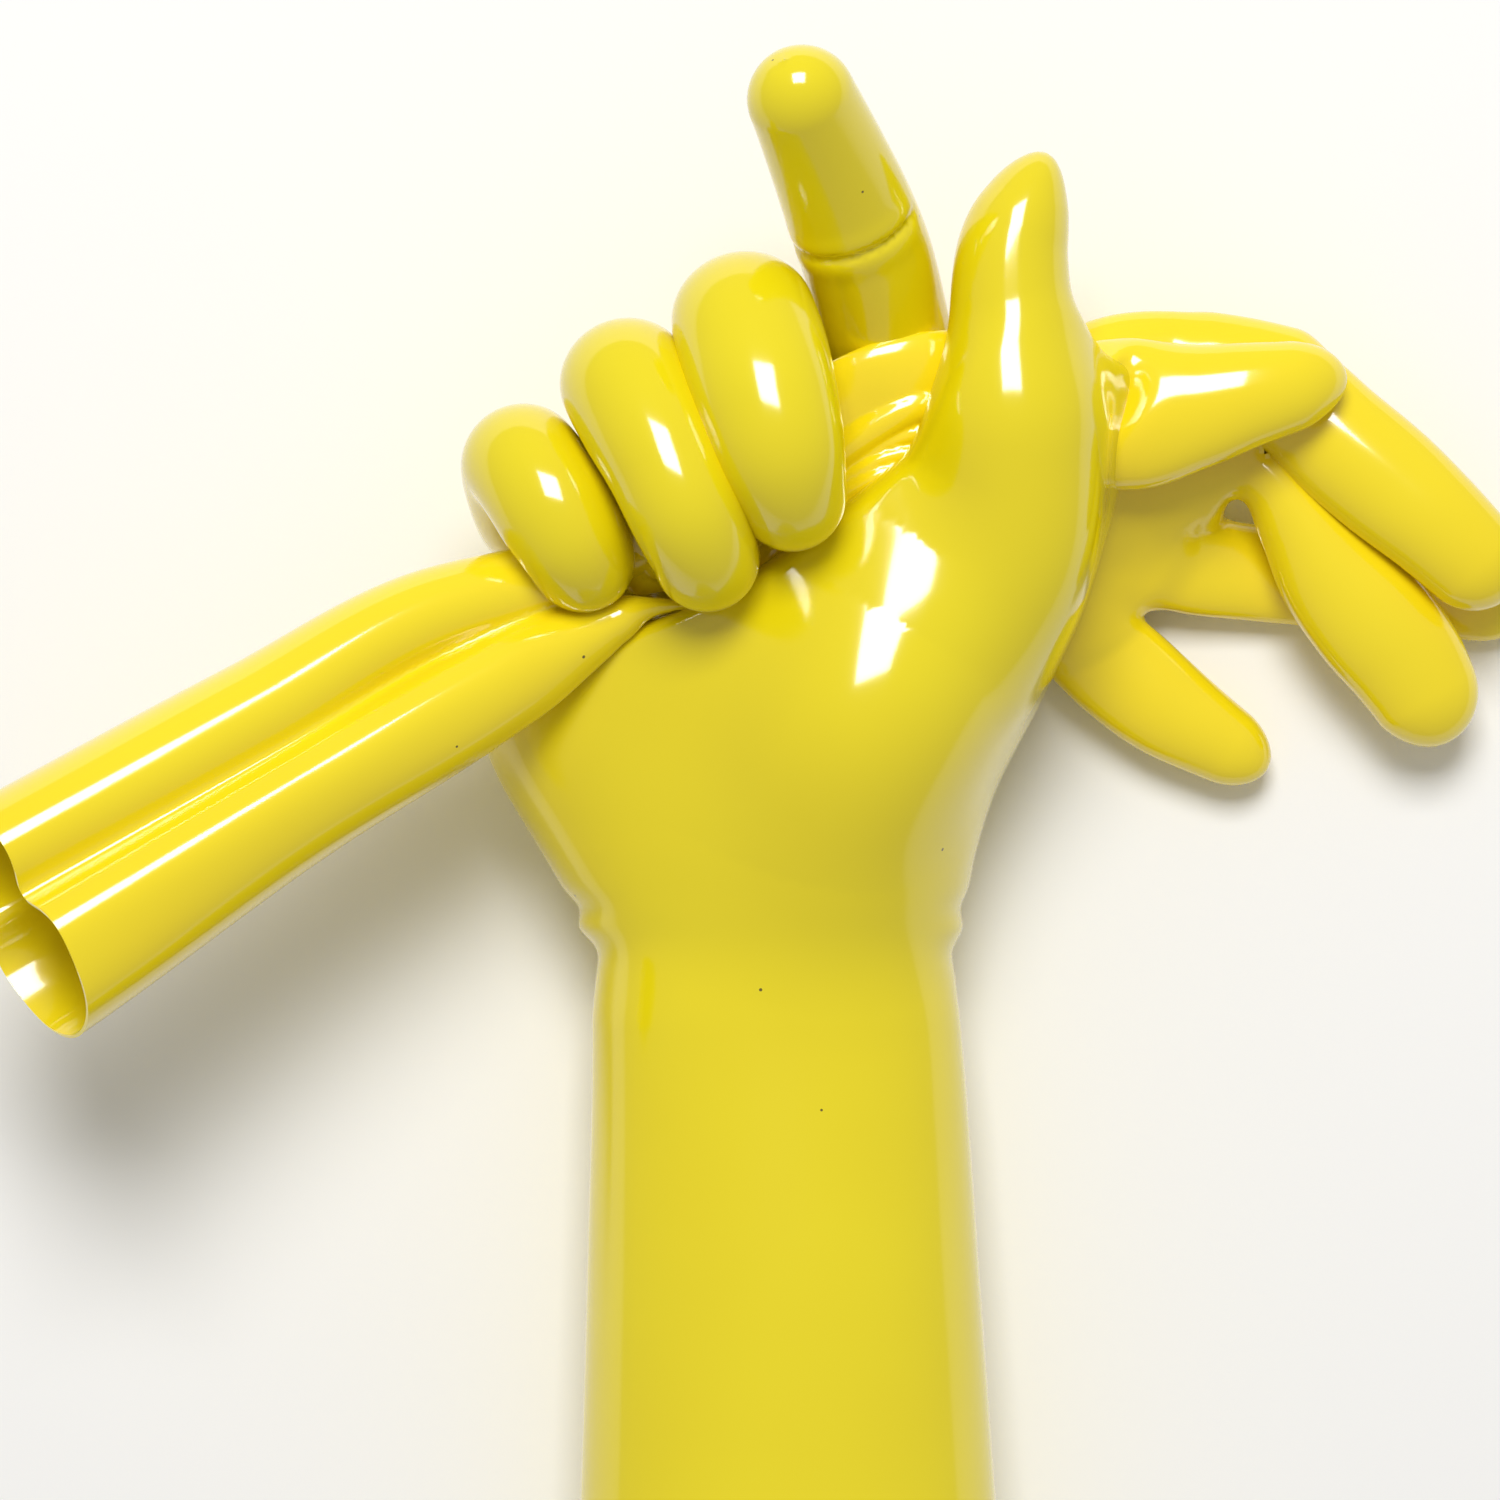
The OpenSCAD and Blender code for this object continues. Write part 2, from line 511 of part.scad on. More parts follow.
module held_thumb() color(empty_yellow) tip_zone(finger_sides, held_thumb_root, held_thumb_tip);
module held_index() color(empty_yellow) tip_zone(finger_sides, held_index_root, held_index_tip);
module held_middle() color(empty_yellow) tip_zone(finger_sides, held_middle_root, held_middle_tip);
module held_ring() color(empty_yellow) tip_zone(finger_sides, held_ring_root, held_ring_tip);
module held_little() color(empty_yellow) tip_zone(finger_sides, held_little_root, held_little_tip);

worn_sleeve();
worn_palm();
worn_thumb_base();
worn_thumb_tip();
worn_index_base();
worn_index_tip();
worn_middle_base();
worn_middle_tip();
worn_ring_base();
worn_ring_tip();
worn_little_base();
worn_little_tip();
held_sleeve();
held_waist();
held_palm();
held_thumb();
held_index();
held_middle();
held_ring();
held_little();
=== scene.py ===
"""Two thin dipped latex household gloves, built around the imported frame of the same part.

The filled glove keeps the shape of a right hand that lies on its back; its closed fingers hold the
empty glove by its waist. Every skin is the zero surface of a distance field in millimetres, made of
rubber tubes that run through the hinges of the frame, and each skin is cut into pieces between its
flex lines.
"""

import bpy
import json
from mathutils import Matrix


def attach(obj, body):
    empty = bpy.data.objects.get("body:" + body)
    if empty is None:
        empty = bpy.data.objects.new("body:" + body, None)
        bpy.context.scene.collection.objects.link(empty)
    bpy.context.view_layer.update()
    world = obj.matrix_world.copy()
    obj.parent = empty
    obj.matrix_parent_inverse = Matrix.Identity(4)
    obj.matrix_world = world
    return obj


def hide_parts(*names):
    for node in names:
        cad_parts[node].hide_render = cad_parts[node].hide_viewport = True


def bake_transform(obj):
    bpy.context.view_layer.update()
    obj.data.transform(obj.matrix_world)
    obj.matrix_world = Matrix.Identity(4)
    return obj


bl_info = {
    "name": "Dipped latex gloves",
    "version": (1, 0, 0),
    "blender": (4, 5, 0),
    "location": "3D View > Sidebar > Gloves",
    "description": "A filled latex household glove that grips an empty one",
    "category": "Object",
}

import json
import math

import bpy
import numpy as np
from mathutils import Vector

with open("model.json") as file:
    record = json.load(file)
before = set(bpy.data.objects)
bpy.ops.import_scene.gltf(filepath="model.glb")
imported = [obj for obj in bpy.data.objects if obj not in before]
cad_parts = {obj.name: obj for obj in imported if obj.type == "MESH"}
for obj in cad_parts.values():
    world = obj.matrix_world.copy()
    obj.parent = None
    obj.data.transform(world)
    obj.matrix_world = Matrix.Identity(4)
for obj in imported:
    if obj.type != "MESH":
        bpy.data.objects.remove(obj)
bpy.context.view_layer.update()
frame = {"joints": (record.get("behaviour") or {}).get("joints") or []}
HINGES = {joint["name"]: joint for joint in frame["joints"]}

MM = 0.001
IN_MM = 1000          # mm in a metre
FAR = 60.0            # distance that stands for "nowhere near", in mm
TINY = 1e-9           # keeps a division from zero
TABLE_STEP = 0.25     # spacing of the rows in a form's table, in mm
DRAFT_STEP = 0.1      # spacing of a tube's points while its length is measured, in mm
AROUND = 14           # how far around a tube its distance is worked out, in mm
NET_MARGIN = 6        # how far around a finger its skin is looked for, in mm
CHORDS = 4            # chords for each row of a tube in the rough search for the nearest point
BLOCK = 6             # cells along each side of a block of the grid
BATCH = 400           # blocks that are worked out at one time, to save memory
UP = np.array([0.0, 0.0, 1.0])


# ---------------------------------------------------------------- places and directions, in mm

def hinge(name):
    """Centre of a flex line."""
    return np.array(HINGES[name]["pos_m"], float) * IN_MM


def axis(name):
    """Direction of a flex line."""
    return np.array(HINGES[name]["axis"], float)


def heading(lean, rise):
    """Unit vector that leans so many degrees from +Y towards -X, and rises above the table."""
    lean, rise = math.radians(lean), math.radians(rise)
    return np.array([-math.sin(lean) * math.cos(rise), math.cos(lean) * math.cos(rise),
                     math.sin(rise)])


# ---------------------------------------------------------------- distance fields

def smooth_min(a, b, k):
    """The nearer of two surfaces, with a fillet of about k where they meet."""
    h = np.maximum(k - np.abs(a - b), 0) / k
    return np.minimum(a, b) - h * h * k / 4


def smooth_max(a, b, k):
    """The farther of two surfaces, which cuts one by the other with a rounded edge of about k."""
    return -smooth_min(-a, -b, k)


def bump(x, centre, width):
    """A round hill of height 1 at centre."""
    return np.exp(-(((x - centre) / width) ** 2))


def curve(at, u, rows):
    """Values between rows that stand at u, joined by a smooth cubic."""
    g = np.gradient(rows, u, axis=0)
    i = np.clip(np.searchsorted(u, at, "right") - 1, 0, len(u) - 2)
    h = (u[i + 1] - u[i])[:, None]
    t = (at - u[i])[:, None] / h
    return (rows[i] * (1 + 2 * t) * (1 - t) ** 2 + rows[i + 1] * t * t * (3 - 2 * t)
            + h * (g[i] * t * (1 - t) ** 2 - g[i + 1] * t * t * (1 - t)))


def oval(a, b, w, h):
    """Distance to an oval of half sizes w and h."""
    k0 = np.sqrt((a / w) ** 2 + (b / h) ** 2)
    k1 = np.sqrt((a / w ** 2) ** 2 + (b / h ** 2) ** 2)
    return np.where(k1 > TINY, k0 * (k0 - 1) / np.maximum(k1, TINY), -np.minimum(w, h))


class Stack:
    """A form given by oval sections across Y: rows are [y, x, z, half width, half height]."""

    def __init__(self, rows):
        rows = np.array(rows, float)
        self.y = np.arange(rows[0, 0], rows[-1, 0], TABLE_STEP)
        self.table = curve(self.y, rows[:, 0], rows[:, 1:])

    def __call__(self, points):
        place = np.clip((points[:, 1] - self.y[0]) / TABLE_STEP, 0, len(self.y) - 1.001)
        i = place.astype(int)
        t = (place - i)[:, None]
        x, z, w, h = (self.table[i] * (1 - t) + self.table[i + 1] * t).T
        return oval(points[:, 0] - x, points[:, 2] - z, w, h)


class Tube:
    """A rubber tube of oval section along a smooth curve with round ends.

    rows are [x, y, z, half width, half height], and the width lies along side. Its last tip mm
    close as a dome. Lengths are counted from the point nearest to zero."""

    def __init__(self, rows, side, zero=None, tip=0):
        rows = np.array(rows, float)
        rows = np.hstack([rows, np.repeat(np.array(side, float)[None], len(rows), 0)])
        chord = self.lengths(rows)
        out = curve(np.arange(0, chord[-1], DRAFT_STEP), chord, rows)
        run = self.lengths(out)
        self.long = run[-1]
        self.n = int(self.long / TABLE_STEP) + 2
        self.step = self.long / (self.n - 1)
        at = np.linspace(0, self.long, self.n)
        table = np.stack([np.interp(at, run, out[:, k]) for k in range(8)], 1)
        if tip:
            dome = np.clip((at - self.long) / tip + 1, 0, 0.999)
            table[:, 3:5] *= np.sqrt(1 - dome ** 2)[:, None]
        along = np.gradient(table[:, :3], axis=0)
        along /= np.linalg.norm(along, axis=1)[:, None]
        bend = np.gradient(along, axis=0) / self.step
        side = table[:, 5:] - np.sum(table[:, 5:] * along, axis=1)[:, None] * along
        side /= np.linalg.norm(side, axis=1)[:, None]
        self.table = np.hstack([table[:, :5], along, side, bend])
        chords = (len(rows) - 1) * CHORDS
        self.coarse = np.unique(np.linspace(0, self.n - 1, chords + 1).astype(int))
        reach = table[:, 3:5].max() + AROUND
        self.lo, self.hi = table[:, :3].min(0) - reach, table[:, :3].max(0) + reach
        self.start = 0.0
        if zero is not None:
            self.start = -self.nearest(np.array(zero, float)[None])[0]

    @staticmethod
    def lengths(rows):
        """Length from the first row to each row, measured along the chords."""
        chords = np.linalg.norm(np.diff(rows[:, :3], axis=0), axis=1)
        return np.concatenate([[0], np.cumsum(chords)])

    def nearest(self, q):
        """How far along the tube each point lies: a rough search, then three steps of at most 3 mm
        that allow for the bend of the centre line."""
        best, run = np.full(len(q), np.inf), np.zeros(len(q))
        for i, j in zip(self.coarse[:-1], self.coarse[1:]):
            a, b = self.table[i, :3], self.table[j, :3]
            t = np.clip((q - a) @ (b - a) / ((b - a) @ (b - a)), 0, 1)
            d = np.linalg.norm(q - a - t[:, None] * (b - a), axis=1)
            nearer = d < best
            best = np.where(nearer, d, best)
            run = np.where(nearer, (i + t * (j - i)) * self.step, run)
        for _ in range(3):
            row = self.at(run)
            off = q - row[:, :3]
            squeeze = np.maximum(1 - np.sum(off * row[:, 11:], axis=1), 0.3)
            move = np.sum(off * row[:, 5:8], axis=1) / squeeze
            run = np.clip(run + np.clip(move, -3, 3), 0, self.long)
        return run

    def at(self, run):
        """Rows of centre, half sizes, direction and side at lengths from the tube's start."""
        place = np.clip(run / self.step, 0, self.n - 1.001)
        i = place.astype(int)
        t = (place - i)[:, None]
        return self.table[i] * (1 - t) + self.table[i + 1] * t

    def measure(self, points):
        """Distance to the tube, and how far along it each point lies."""
        d = np.full(len(points), FAR)
        along = np.full(len(points), -FAR)
        near = np.all((points > self.lo) & (points < self.hi), axis=1)
        q = points[near]
        run = self.nearest(q)
        row = self.at(run)
        off = q - row[:, :3]
        w, h, t, s = row[:, 3], row[:, 4], row[:, 5:8], row[:, 8:11]
        a, c = np.sum(off * s, axis=1), np.sum(off * t, axis=1)
        b = np.sqrt(np.maximum(np.sum(off * off, axis=1) - a * a - c * c, 0))
        k0 = np.sqrt((a / w) ** 2 + (b / h) ** 2 + (c / h) ** 2)
        k1 = np.sqrt((a / w ** 2) ** 2 + (b / h ** 2) ** 2 + (c / h ** 2) ** 2)
        d[near] = np.where(k1 > TINY, k0 * (k0 - 1) / np.maximum(k1, TINY), -np.minimum(w, h))
        along[near] = run + self.start
        return d, along

    def way(self, place):
        """Direction of the tube where it passes a point."""
        return self.at(self.nearest(np.array(place, float)[None]))[0, 5:8]

    def __call__(self, points):
        return self.measure(points)[0]


# ---------------------------------------------------------------- from field to skin

# The corners of a grid cell, and its edges as pairs of corners.
CORNERS = [(0, 0, 0), (1, 0, 0), (0, 1, 0), (1, 1, 0), (0, 0, 1), (1, 0, 1), (0, 1, 1), (1, 1, 1)]
EDGES = [(0, 1), (2, 3), (4, 5), (6, 7), (0, 2), (1, 3), (4, 6), (5, 7),
         (0, 4), (1, 5), (2, 6), (3, 7)]


def places(sizes):
    """Every whole-number place in a box of these sizes."""
    return np.stack(np.meshgrid(*[np.arange(n) for n in sizes], indexing="ij"), -1).reshape(-1, 3)


def sample(field, low, n, step):
    """Field values on a grid. A block that lies far from the surface gets the value at its middle;
    far is more than its half diagonal, with an allowance for fields that aren't true distances."""
    tiles = -(-n // BLOCK)
    index = places(tiles)
    far = field((low + index * BLOCK + (BLOCK - 1) / 2) * step)
    value = np.empty(tuple(tiles * BLOCK), np.float32)
    shaped = value.reshape(tiles[0], BLOCK, tiles[1], BLOCK, tiles[2], BLOCK)
    shaped = shaped.transpose(0, 2, 4, 1, 3, 5)
    shaped[...] = far.reshape(*tiles, 1, 1, 1)
    close = index[np.abs(far) < BLOCK * step * 1.25]
    inner = places([BLOCK] * 3)
    for i in range(0, len(close), BATCH):
        part = close[i:i + BATCH]
        points = (low + part[:, None] * BLOCK + inner).reshape(-1, 3) * step
        shaped[tuple(part.T)] = field(points).reshape(-1, BLOCK, BLOCK, BLOCK)
    return value[:n[0], :n[1], :n[2]]


def grid_skin(field, low, high, step):
    """Quads over the zero surface of field: one point in each cell that the surface crosses."""
    low = np.floor(np.array(low, float) / step).astype(int)
    n = np.ceil(np.array(high, float) / step).astype(int) - low + 1
    value = sample(field, low, n, step)
    inside = value < 0
    cells = n - 1
    corner = [inside[a:a + cells[0], b:b + cells[1], c:c + cells[2]] for a, b, c in CORNERS]
    count = sum(c.astype(np.int8) for c in corner)
    active = (count > 0) & (count < 8)
    where = np.argwhere(active)
    number = np.full(cells, -1)
    number[active] = np.arange(len(where))
    total, hits = np.zeros((len(where), 3)), np.zeros(len(where))
    val = [value[where[:, 0] + a, where[:, 1] + b, where[:, 2] + c] for a, b, c in CORNERS]
    for a, b in EDGES:
        cross = (val[a] < 0) != (val[b] < 0)
        t = np.where(cross, val[a] / np.where(cross, val[a] - val[b], 1), 0)
        pa, pb = np.array(CORNERS[a], float), np.array(CORNERS[b], float)
        total += cross[:, None] * (pa + t[:, None] * (pb - pa))
        hits += cross
    verts = (where + low + total / hits[:, None]) * step
    quads = []
    for k in range(3):
        u, v = (k + 1) % 3, (k + 2) % 3
        behind = [slice(1, n[m] - 1) for m in range(3)]
        ahead = list(behind)
        behind[k], ahead[k] = slice(0, n[k] - 1), slice(1, n[k])
        a, b = inside[tuple(behind)], inside[tuple(ahead)]
        flips = np.argwhere(a != b)
        start = a[tuple(flips.T)]
        base = flips.copy()
        base[:, u] += 1
        base[:, v] += 1
        ring = []
        for du, dv in ((0, 0), (-1, 0), (-1, -1), (0, -1)):
            cell = base.copy()
            cell[:, u] += du
            cell[:, v] += dv
            ring.append(number[tuple(cell.T)])
        ring = np.stack(ring, 1)
        ring[~start] = ring[~start][:, ::-1]
        quads.append(ring)
    quads = np.concatenate(quads)
    return verts, quads[(quads >= 0).all(1)]


def slope(field, verts, eps=0.2):
    """How a field grows along X, Y and Z, measured over eps mm to each side."""
    g = np.empty_like(verts)
    for k in range(3):
        d = np.zeros(3)
        d[k] = eps
        g[:, k] = (field(verts + d) - field(verts - d)) / (2 * eps)
    return g


def settle(field, verts, rounds=2, hold=None):
    """Moves points onto the zero surface, by at most 0.8 mm a round, and returns them with their
    true normals. With hold, they stay in the plane that has hold as its normal."""
    for _ in range(rounds):
        g = slope(field, verts)
        if hold is not None:
            g = g - np.outer(g @ hold, hold)
        size = np.maximum(np.sum(g * g, axis=1), 0.05)
        move = field(verts)[:, None] * g / size[:, None]
        length = np.linalg.norm(move, axis=1)
        verts = verts - move * np.minimum(1, 0.8 / np.maximum(length, TINY))[:, None]
    g = slope(field, verts)
    return verts, g / np.maximum(np.linalg.norm(g, axis=1), TINY)[:, None]


class Skin:
    """A net of quads with true normals, which is cut into pieces."""

    def __init__(self, field, low, high, step):
        self.field = field
        self.verts, self.quads = grid_skin(field, low, high, step)
        self.verts, self.normals = settle(field, self.verts)

    def centres(self):
        """Middles of the faces."""
        return self.verts[self.quads].mean(axis=1)

    def trim(self, point, normal):
        """Drops what lies past a plane and leaves a straight cut edge there."""
        point, normal = np.array(point, float), np.array(normal, float)
        keep = (self.centres() - point) @ normal < 0
        dropped = np.unique(self.quads[~keep])
        self.quads = self.quads[keep]
        rim = np.intersect1d(dropped, np.unique(self.quads))
        v = self.verts[rim]
        v = v - np.outer((v - point) @ normal, normal)
        self.verts[rim], self.normals[rim] = settle(self.field, v, 3, normal)

    def piece(self, name, keep, wall, material):
        """The faces marked by keep as a piece of rubber."""
        return shell(name, self.verts, self.normals, self.quads[keep], wall, material)


def shell(name, verts, normals, quads, wall, material):
    """A thin rubber wall: the outer skin, its inner face and the edges between them."""
    used, quads = np.unique(quads, return_inverse=True)
    quads = quads.reshape(-1, 4)
    verts, normals = verts[used], normals[used]
    n = len(verts)
    pairs = np.concatenate([quads[:, [k, (k + 1) % 4]] for k in range(4)])
    key = np.sort(pairs, axis=1)
    _, first, counts = np.unique(key[:, 0] * n + key[:, 1], return_index=True, return_counts=True)
    edge = pairs[first[counts == 1]]
    rims = np.stack([edge[:, 1], edge[:, 0], edge[:, 0] + n, edge[:, 1] + n], 1)
    points = np.concatenate([verts, verts - wall * normals]) * MM
    faces = np.concatenate([quads, quads[:, ::-1] + n, rims])
    mesh = bpy.data.meshes.new(name)
    mesh.vertices.add(len(points))
    mesh.vertices.foreach_set("co", points.astype(np.float32).ravel())
    mesh.loops.add(faces.size)
    mesh.loops.foreach_set("vertex_index", faces.astype(np.int32).ravel())
    mesh.polygons.add(len(faces))
    mesh.polygons.foreach_set("loop_start", np.arange(0, faces.size, 4, dtype=np.int32))
    mesh.update()
    mesh.polygons.foreach_set("use_smooth", np.ones(len(faces), bool))
    smooth = np.concatenate([normals, -normals])[faces]
    a, b, c = points[rims[:, 0]], points[rims[:, 1]], points[rims[:, 2]]
    flat = np.cross(b - a, c - a)
    flat /= np.maximum(np.linalg.norm(flat, axis=1), 1e-12)[:, None]
    if len(rims):
        smooth[-len(rims):] = flat[:, None]
    mesh.normals_split_custom_set(smooth.reshape(-1, 3).tolist())
    mesh.materials.append(material)
    piece = bpy.data.objects.new(name, mesh)
    bpy.context.scene.collection.objects.link(piece)
    return piece


# ---------------------------------------------------------------- the filled glove's forms

def finger_rows(root, mid, back, sizes, ends):
    """Rows of a finger: its root inside the palm, both hinges, then each further joint.

    back is [length, rise] behind the knuckle; ends are [length, lean, rise] past the middle hinge.
    sizes are [half width, half height, how far the row stands off the hinge line towards +X]."""
    k, m = hinge(root), hinge(mid)
    a = axis(root)
    lean = math.degrees(math.atan2(a[1], a[0]))
    rows = [k - back[0] * heading(lean, back[1]), k, k + 0.5 * (m - k), m]
    p = m
    for length, turn, rise in ends:
        p = p + length * heading(lean + turn, rise)
        rows.append(p)
    return [[p[0] + x, p[1], p[2], w, h] for p, (w, h, x) in zip(rows, sizes)]


def filled_tubes():
    """The five fingers of the filled glove; lengths run from each knuckle."""
    def finger(name, back, sizes, ends, tip):
        rows = finger_rows(name + "_knuckle", name + "_middle", back, sizes, ends)
        return Tube(rows, axis(name + "_knuckle"), hinge(name + "_knuckle"), tip)

    tubes = {
        "index": finger(
            "index", (24, 8),
            [(11, 11, 1), (11.6, 11.4, 1.4), (11.4, 10.8, 1.6), (11.4, 10.4, 1.5),
             (11.1, 10, 1.2), (10.3, 9.3, 1), (9.4, 8.6, 1), (8.8, 8.2, 1)],
            [(9, 5, 44), (12, 8, 46), (13, 11, 48), (11.5, 13, 49)], 9),
        "middle": finger(
            "middle", (22, 8),
            [(10, 11, 0), (10, 11, 0), (10.8, 11, 0), (12.6, 11.4, 0), (12.9, 11.2, 0),
             (12.3, 10.8, 0), (11.2, 10.2, 0), (9.8, 9.6, 0), (9.2, 9, 0)],
            [(8, 0, 148), (9, 0, 158), (9, 0, 178), (7, 0, 215), (12, 0, 248)], 10),
        "ring": finger(
            "ring", (20, 8),
            [(9.6, 10, 0), (9.6, 10.6, 0), (10.4, 10.6, -0.4), (11.6, 11, -0.4), (11.4, 10.8, 0),
             (10.6, 10.2, 0.4), (10, 9.8, 0.4), (9.4, 9.4, 0.4), (9, 8.8, 0.4)],
            [(8, 0, 146), (9, 0, 157), (9.5, 0, 177), (8, 0, 215), (12, 0, 246)], 9.5),
        "little": finger(
            "little", (18, 8),
            [(9, 9.4, 0), (9.8, 10, -0.6), (11.4, 10, -1.6), (10.4, 10, 0.2), (10.4, 9.8, 1),
             (10.4, 9.4, 1.6), (9.8, 9, 1.8), (9.2, 8.6, 1.8), (8.4, 8.2, 1.8)],
            [(5.5, 0, 140), (6, 0, 163), (5, 0, 186), (5, 0, 218), (9, 0, 252)], 9)}
    k, m = hinge("thumb_swing"), hinge("thumb_tip_bend")
    tubes["thumb"] = Tube([
        [k[0] - 9, k[1] - 24, k[2] - 13, 10, 10], [k[0] - 2, k[1] - 8, k[2] - 4, 12, 12],
        [k[0] - 2.9, k[1] + 13, k[2], 12, 12], [m[0] - 1.8, m[1] + 1, m[2], 10.8, 10.8],
        [m[0] - 1.3, m[1] + 14, m[2], 9.6, 9.8], [m[0] + 1.2, m[1] + 22, m[2] + 0.2, 8.1, 8.8],
        [m[0] + 4.3, m[1] + 30, m[2] + 0.6, 6.6, 8]],
        (1, 0, 0), k, 14)
    return tubes


ACROSS = (1, 0, 0)

# The forearm, the wrist and the hand, from past the cuff to past the knuckles.
HAND = Stack([[-170, 4.6, 29, 39.4, 30], [-128, 3.6, 27.6, 38.2, 28.6], [-60, 2.2, 25.4, 35, 26.3],
              [-16, 1, 23.2, 33, 23.8], [0, 0, 22.6, 32.4, 23.2], [6, -1, 22.8, 34.8, 23.3],
              [17, -3.1, 23.2, 38.8, 23.7], [33.5, -3.6, 23.8, 46, 24.3],
              [45, -1.6, 24.2, 50.2, 25], [56, 1.7, 24.6, 52.2, 26], [70, 5, 25, 54, 27],
              [110, 12, 26, 58, 29]])

# The ball of the thumb, from the wrist up into the thumb.
THENAR = Tube([[8, 2, 22, 12, 14], [11, 20, 33, 17, 19], [16, 37, 42.2, 19.5, 20],
               [25.5, 53, 42, 18.5, 17.2], [34.5, 67, 42.2, 16, 14.2], [41, 80, 45.4, 12.5, 11.6],
               [43, 90, 49, 12, 12]], (1, -0.6, 0))

# The front edge of the pad, behind the closed fingertips: y for each x, between two ends.
FRONT_X = [-56, -40, -14.2, -2, 10.3, 26.8, 40, 50]
FRONT_Y = [50, 52, 58.7, 63, 71.9, 83, 92, 99]
FRONT = np.polyfit(FRONT_X, FRONT_Y, 4)
FRONT_ENDS = (-60, 54)
FRONT_SLOPE = 0.85    # makes the length along Y a distance to the slanted edge

# The bed under each knuckle, from the index finger's to the little finger's.
KNUCKLES = [
    Tube([[10, 26, 20, 14, 16], [26, 50, 21, 17, 17], [25, 82, 19, 12, 12]], ACROSS),
    Tube([[2, 26, 20, 15, 16], [2, 50, 20, 17, 17], [0, 84, 17, 12, 12]], ACROSS),
    Tube([[-6, 26, 20, 15, 16], [-17, 46, 20, 16, 16], [-18, 76, 16, 11.5, 11.5]], ACROSS),
    Tube([[-14, 24, 19, 13, 15], [-32, 38, 19, 15.5, 16], [-37, 66, 15.5, 11, 11]], ACROSS)]

FRONT_FILLET, THENAR_FILLET, KNUCKLE_FILLET, TABLE_FILLET = 4, 20, 10, 5
NUB = 1.3             # how far the rubber puckers out at both sides of the wrist


def palm_field(points):
    """The hand without its fingers: sleeve, wrist, the pad with its front edge, the ball of the
    thumb and the knuckle bed, flat where it rests on the table."""
    x, y, z = points.T
    front = (y - np.polyval(FRONT, np.clip(x, *FRONT_ENDS))) * FRONT_SLOPE
    d = smooth_max(HAND(points), front, FRONT_FILLET)
    d = smooth_min(d, THENAR(points), THENAR_FILLET)
    for tube in KNUCKLES:
        d = smooth_min(d, tube(points), KNUCKLE_FILLET)
    pucker = bump(y, 1.5, 2.2) - 0.9 * bump(y, 5.5, 2.4) - 0.5 * bump(y, -3.2, 2.6)
    nub = pucker * bump(z, 20, 13)
    d = d - NUB * nub * (bump(x, -33, 7) + 0.7 * bump(x, 33, 5))
    return smooth_max(d, -z, TABLE_FILLET)


def hand_skins(palm, tubes, fillets, space, step, crease):
    """Skins of a hand: its palm with all finger roots, and each finger by itself."""
    def finger(name, points):
        d, along = tubes[name].measure(points)
        return d + crease(name, points, along)

    def whole(points):
        base = palm(points)
        d = base
        for name in tubes:
            d = np.minimum(d, smooth_min(base, finger(name, points), fillets[name]))
        return d

    skins = {"palm": Skin(whole, *space, step)}
    for name, tube in tubes.items():
        def alone(points, name=name):
            return smooth_min(palm(points), finger(name, points), fillets[name])
        spare = AROUND - NET_MARGIN
        skins[name] = Skin(alone, tube.lo + spare, tube.hi - spare, step)
    return skins


def split_hand(palm, tubes, skins, seams):
    """Marks which faces stay with the palm, and gives each finger its faces and their lengths."""
    centres = skins["palm"].centres()
    gap = palm(centres)
    best, past = np.full(len(centres), FAR), np.zeros(len(centres), bool)
    for name, tube in tubes.items():
        d, run = tube.measure(centres)
        closer = d < best
        past[closer] = run[closer] > seams[name]
        best = np.minimum(best, d)
    fingers = {}
    for name, tube in tubes.items():
        centres = skins[name].centres()
        d, run = tube.measure(centres)
        fingers[name] = ((run > seams[name]) & (d < palm(centres)), run)
    return ~(past & (best < gap)), fingers


def index_crease(name, points, along):
    """The index finger's one tight fold across its front, 6 mm past its middle hinge, with a low
    swell on both sides of it."""
    if name != "index":
        return 0.0
    m = np.linalg.norm(hinge("index_middle") - hinge("index_knuckle"))
    front = np.clip((points - hinge("index_middle")) @ np.array([0, -0.69, 0.72]) / 6, 0, 1)
    return front * (0.8 * bump(along, m + 6.0, 0.9) - 0.25 * bump(along, m + 8.6, 2.0)
                    - 0.3 * bump(along, m + 3.2, 2.2))


def bend(piece, near, far, place, way, reach, slot, *nodes):
    """Bakes the placement of a piece into its mesh and hides the parts of the frame that it stands
    for.
    """
    way = way / np.linalg.norm(way)
    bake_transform(piece)
    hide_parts(*nodes)


FILLED_SPACE = ((-60, -134, -4), (68, 112, 78))
CUFF_Y = -128         # the cut edge of the filled sleeve
SLEEVE_SEAM_Y = 26    # where the skin of the sleeve ends and that of the palm begins
WRIST_REACH, KNUCKLE_REACH, MIDDLE_REACH = 16, 6, 5     # how far each flex line reaches into the skin

# For each finger: the fillet to the palm, then where along it its skin begins and is cut in two.
FILLED_FILLETS = {"index": 6, "middle": 4, "ring": 4, "little": 5, "thumb": 9}
FILLED_SEAMS = {"index": -6, "middle": -5, "ring": -5, "little": -5, "thumb": -4}
TIP_SEAMS = {"index": 22, "middle": 24, "ring": 22, "little": 19, "thumb": 16}


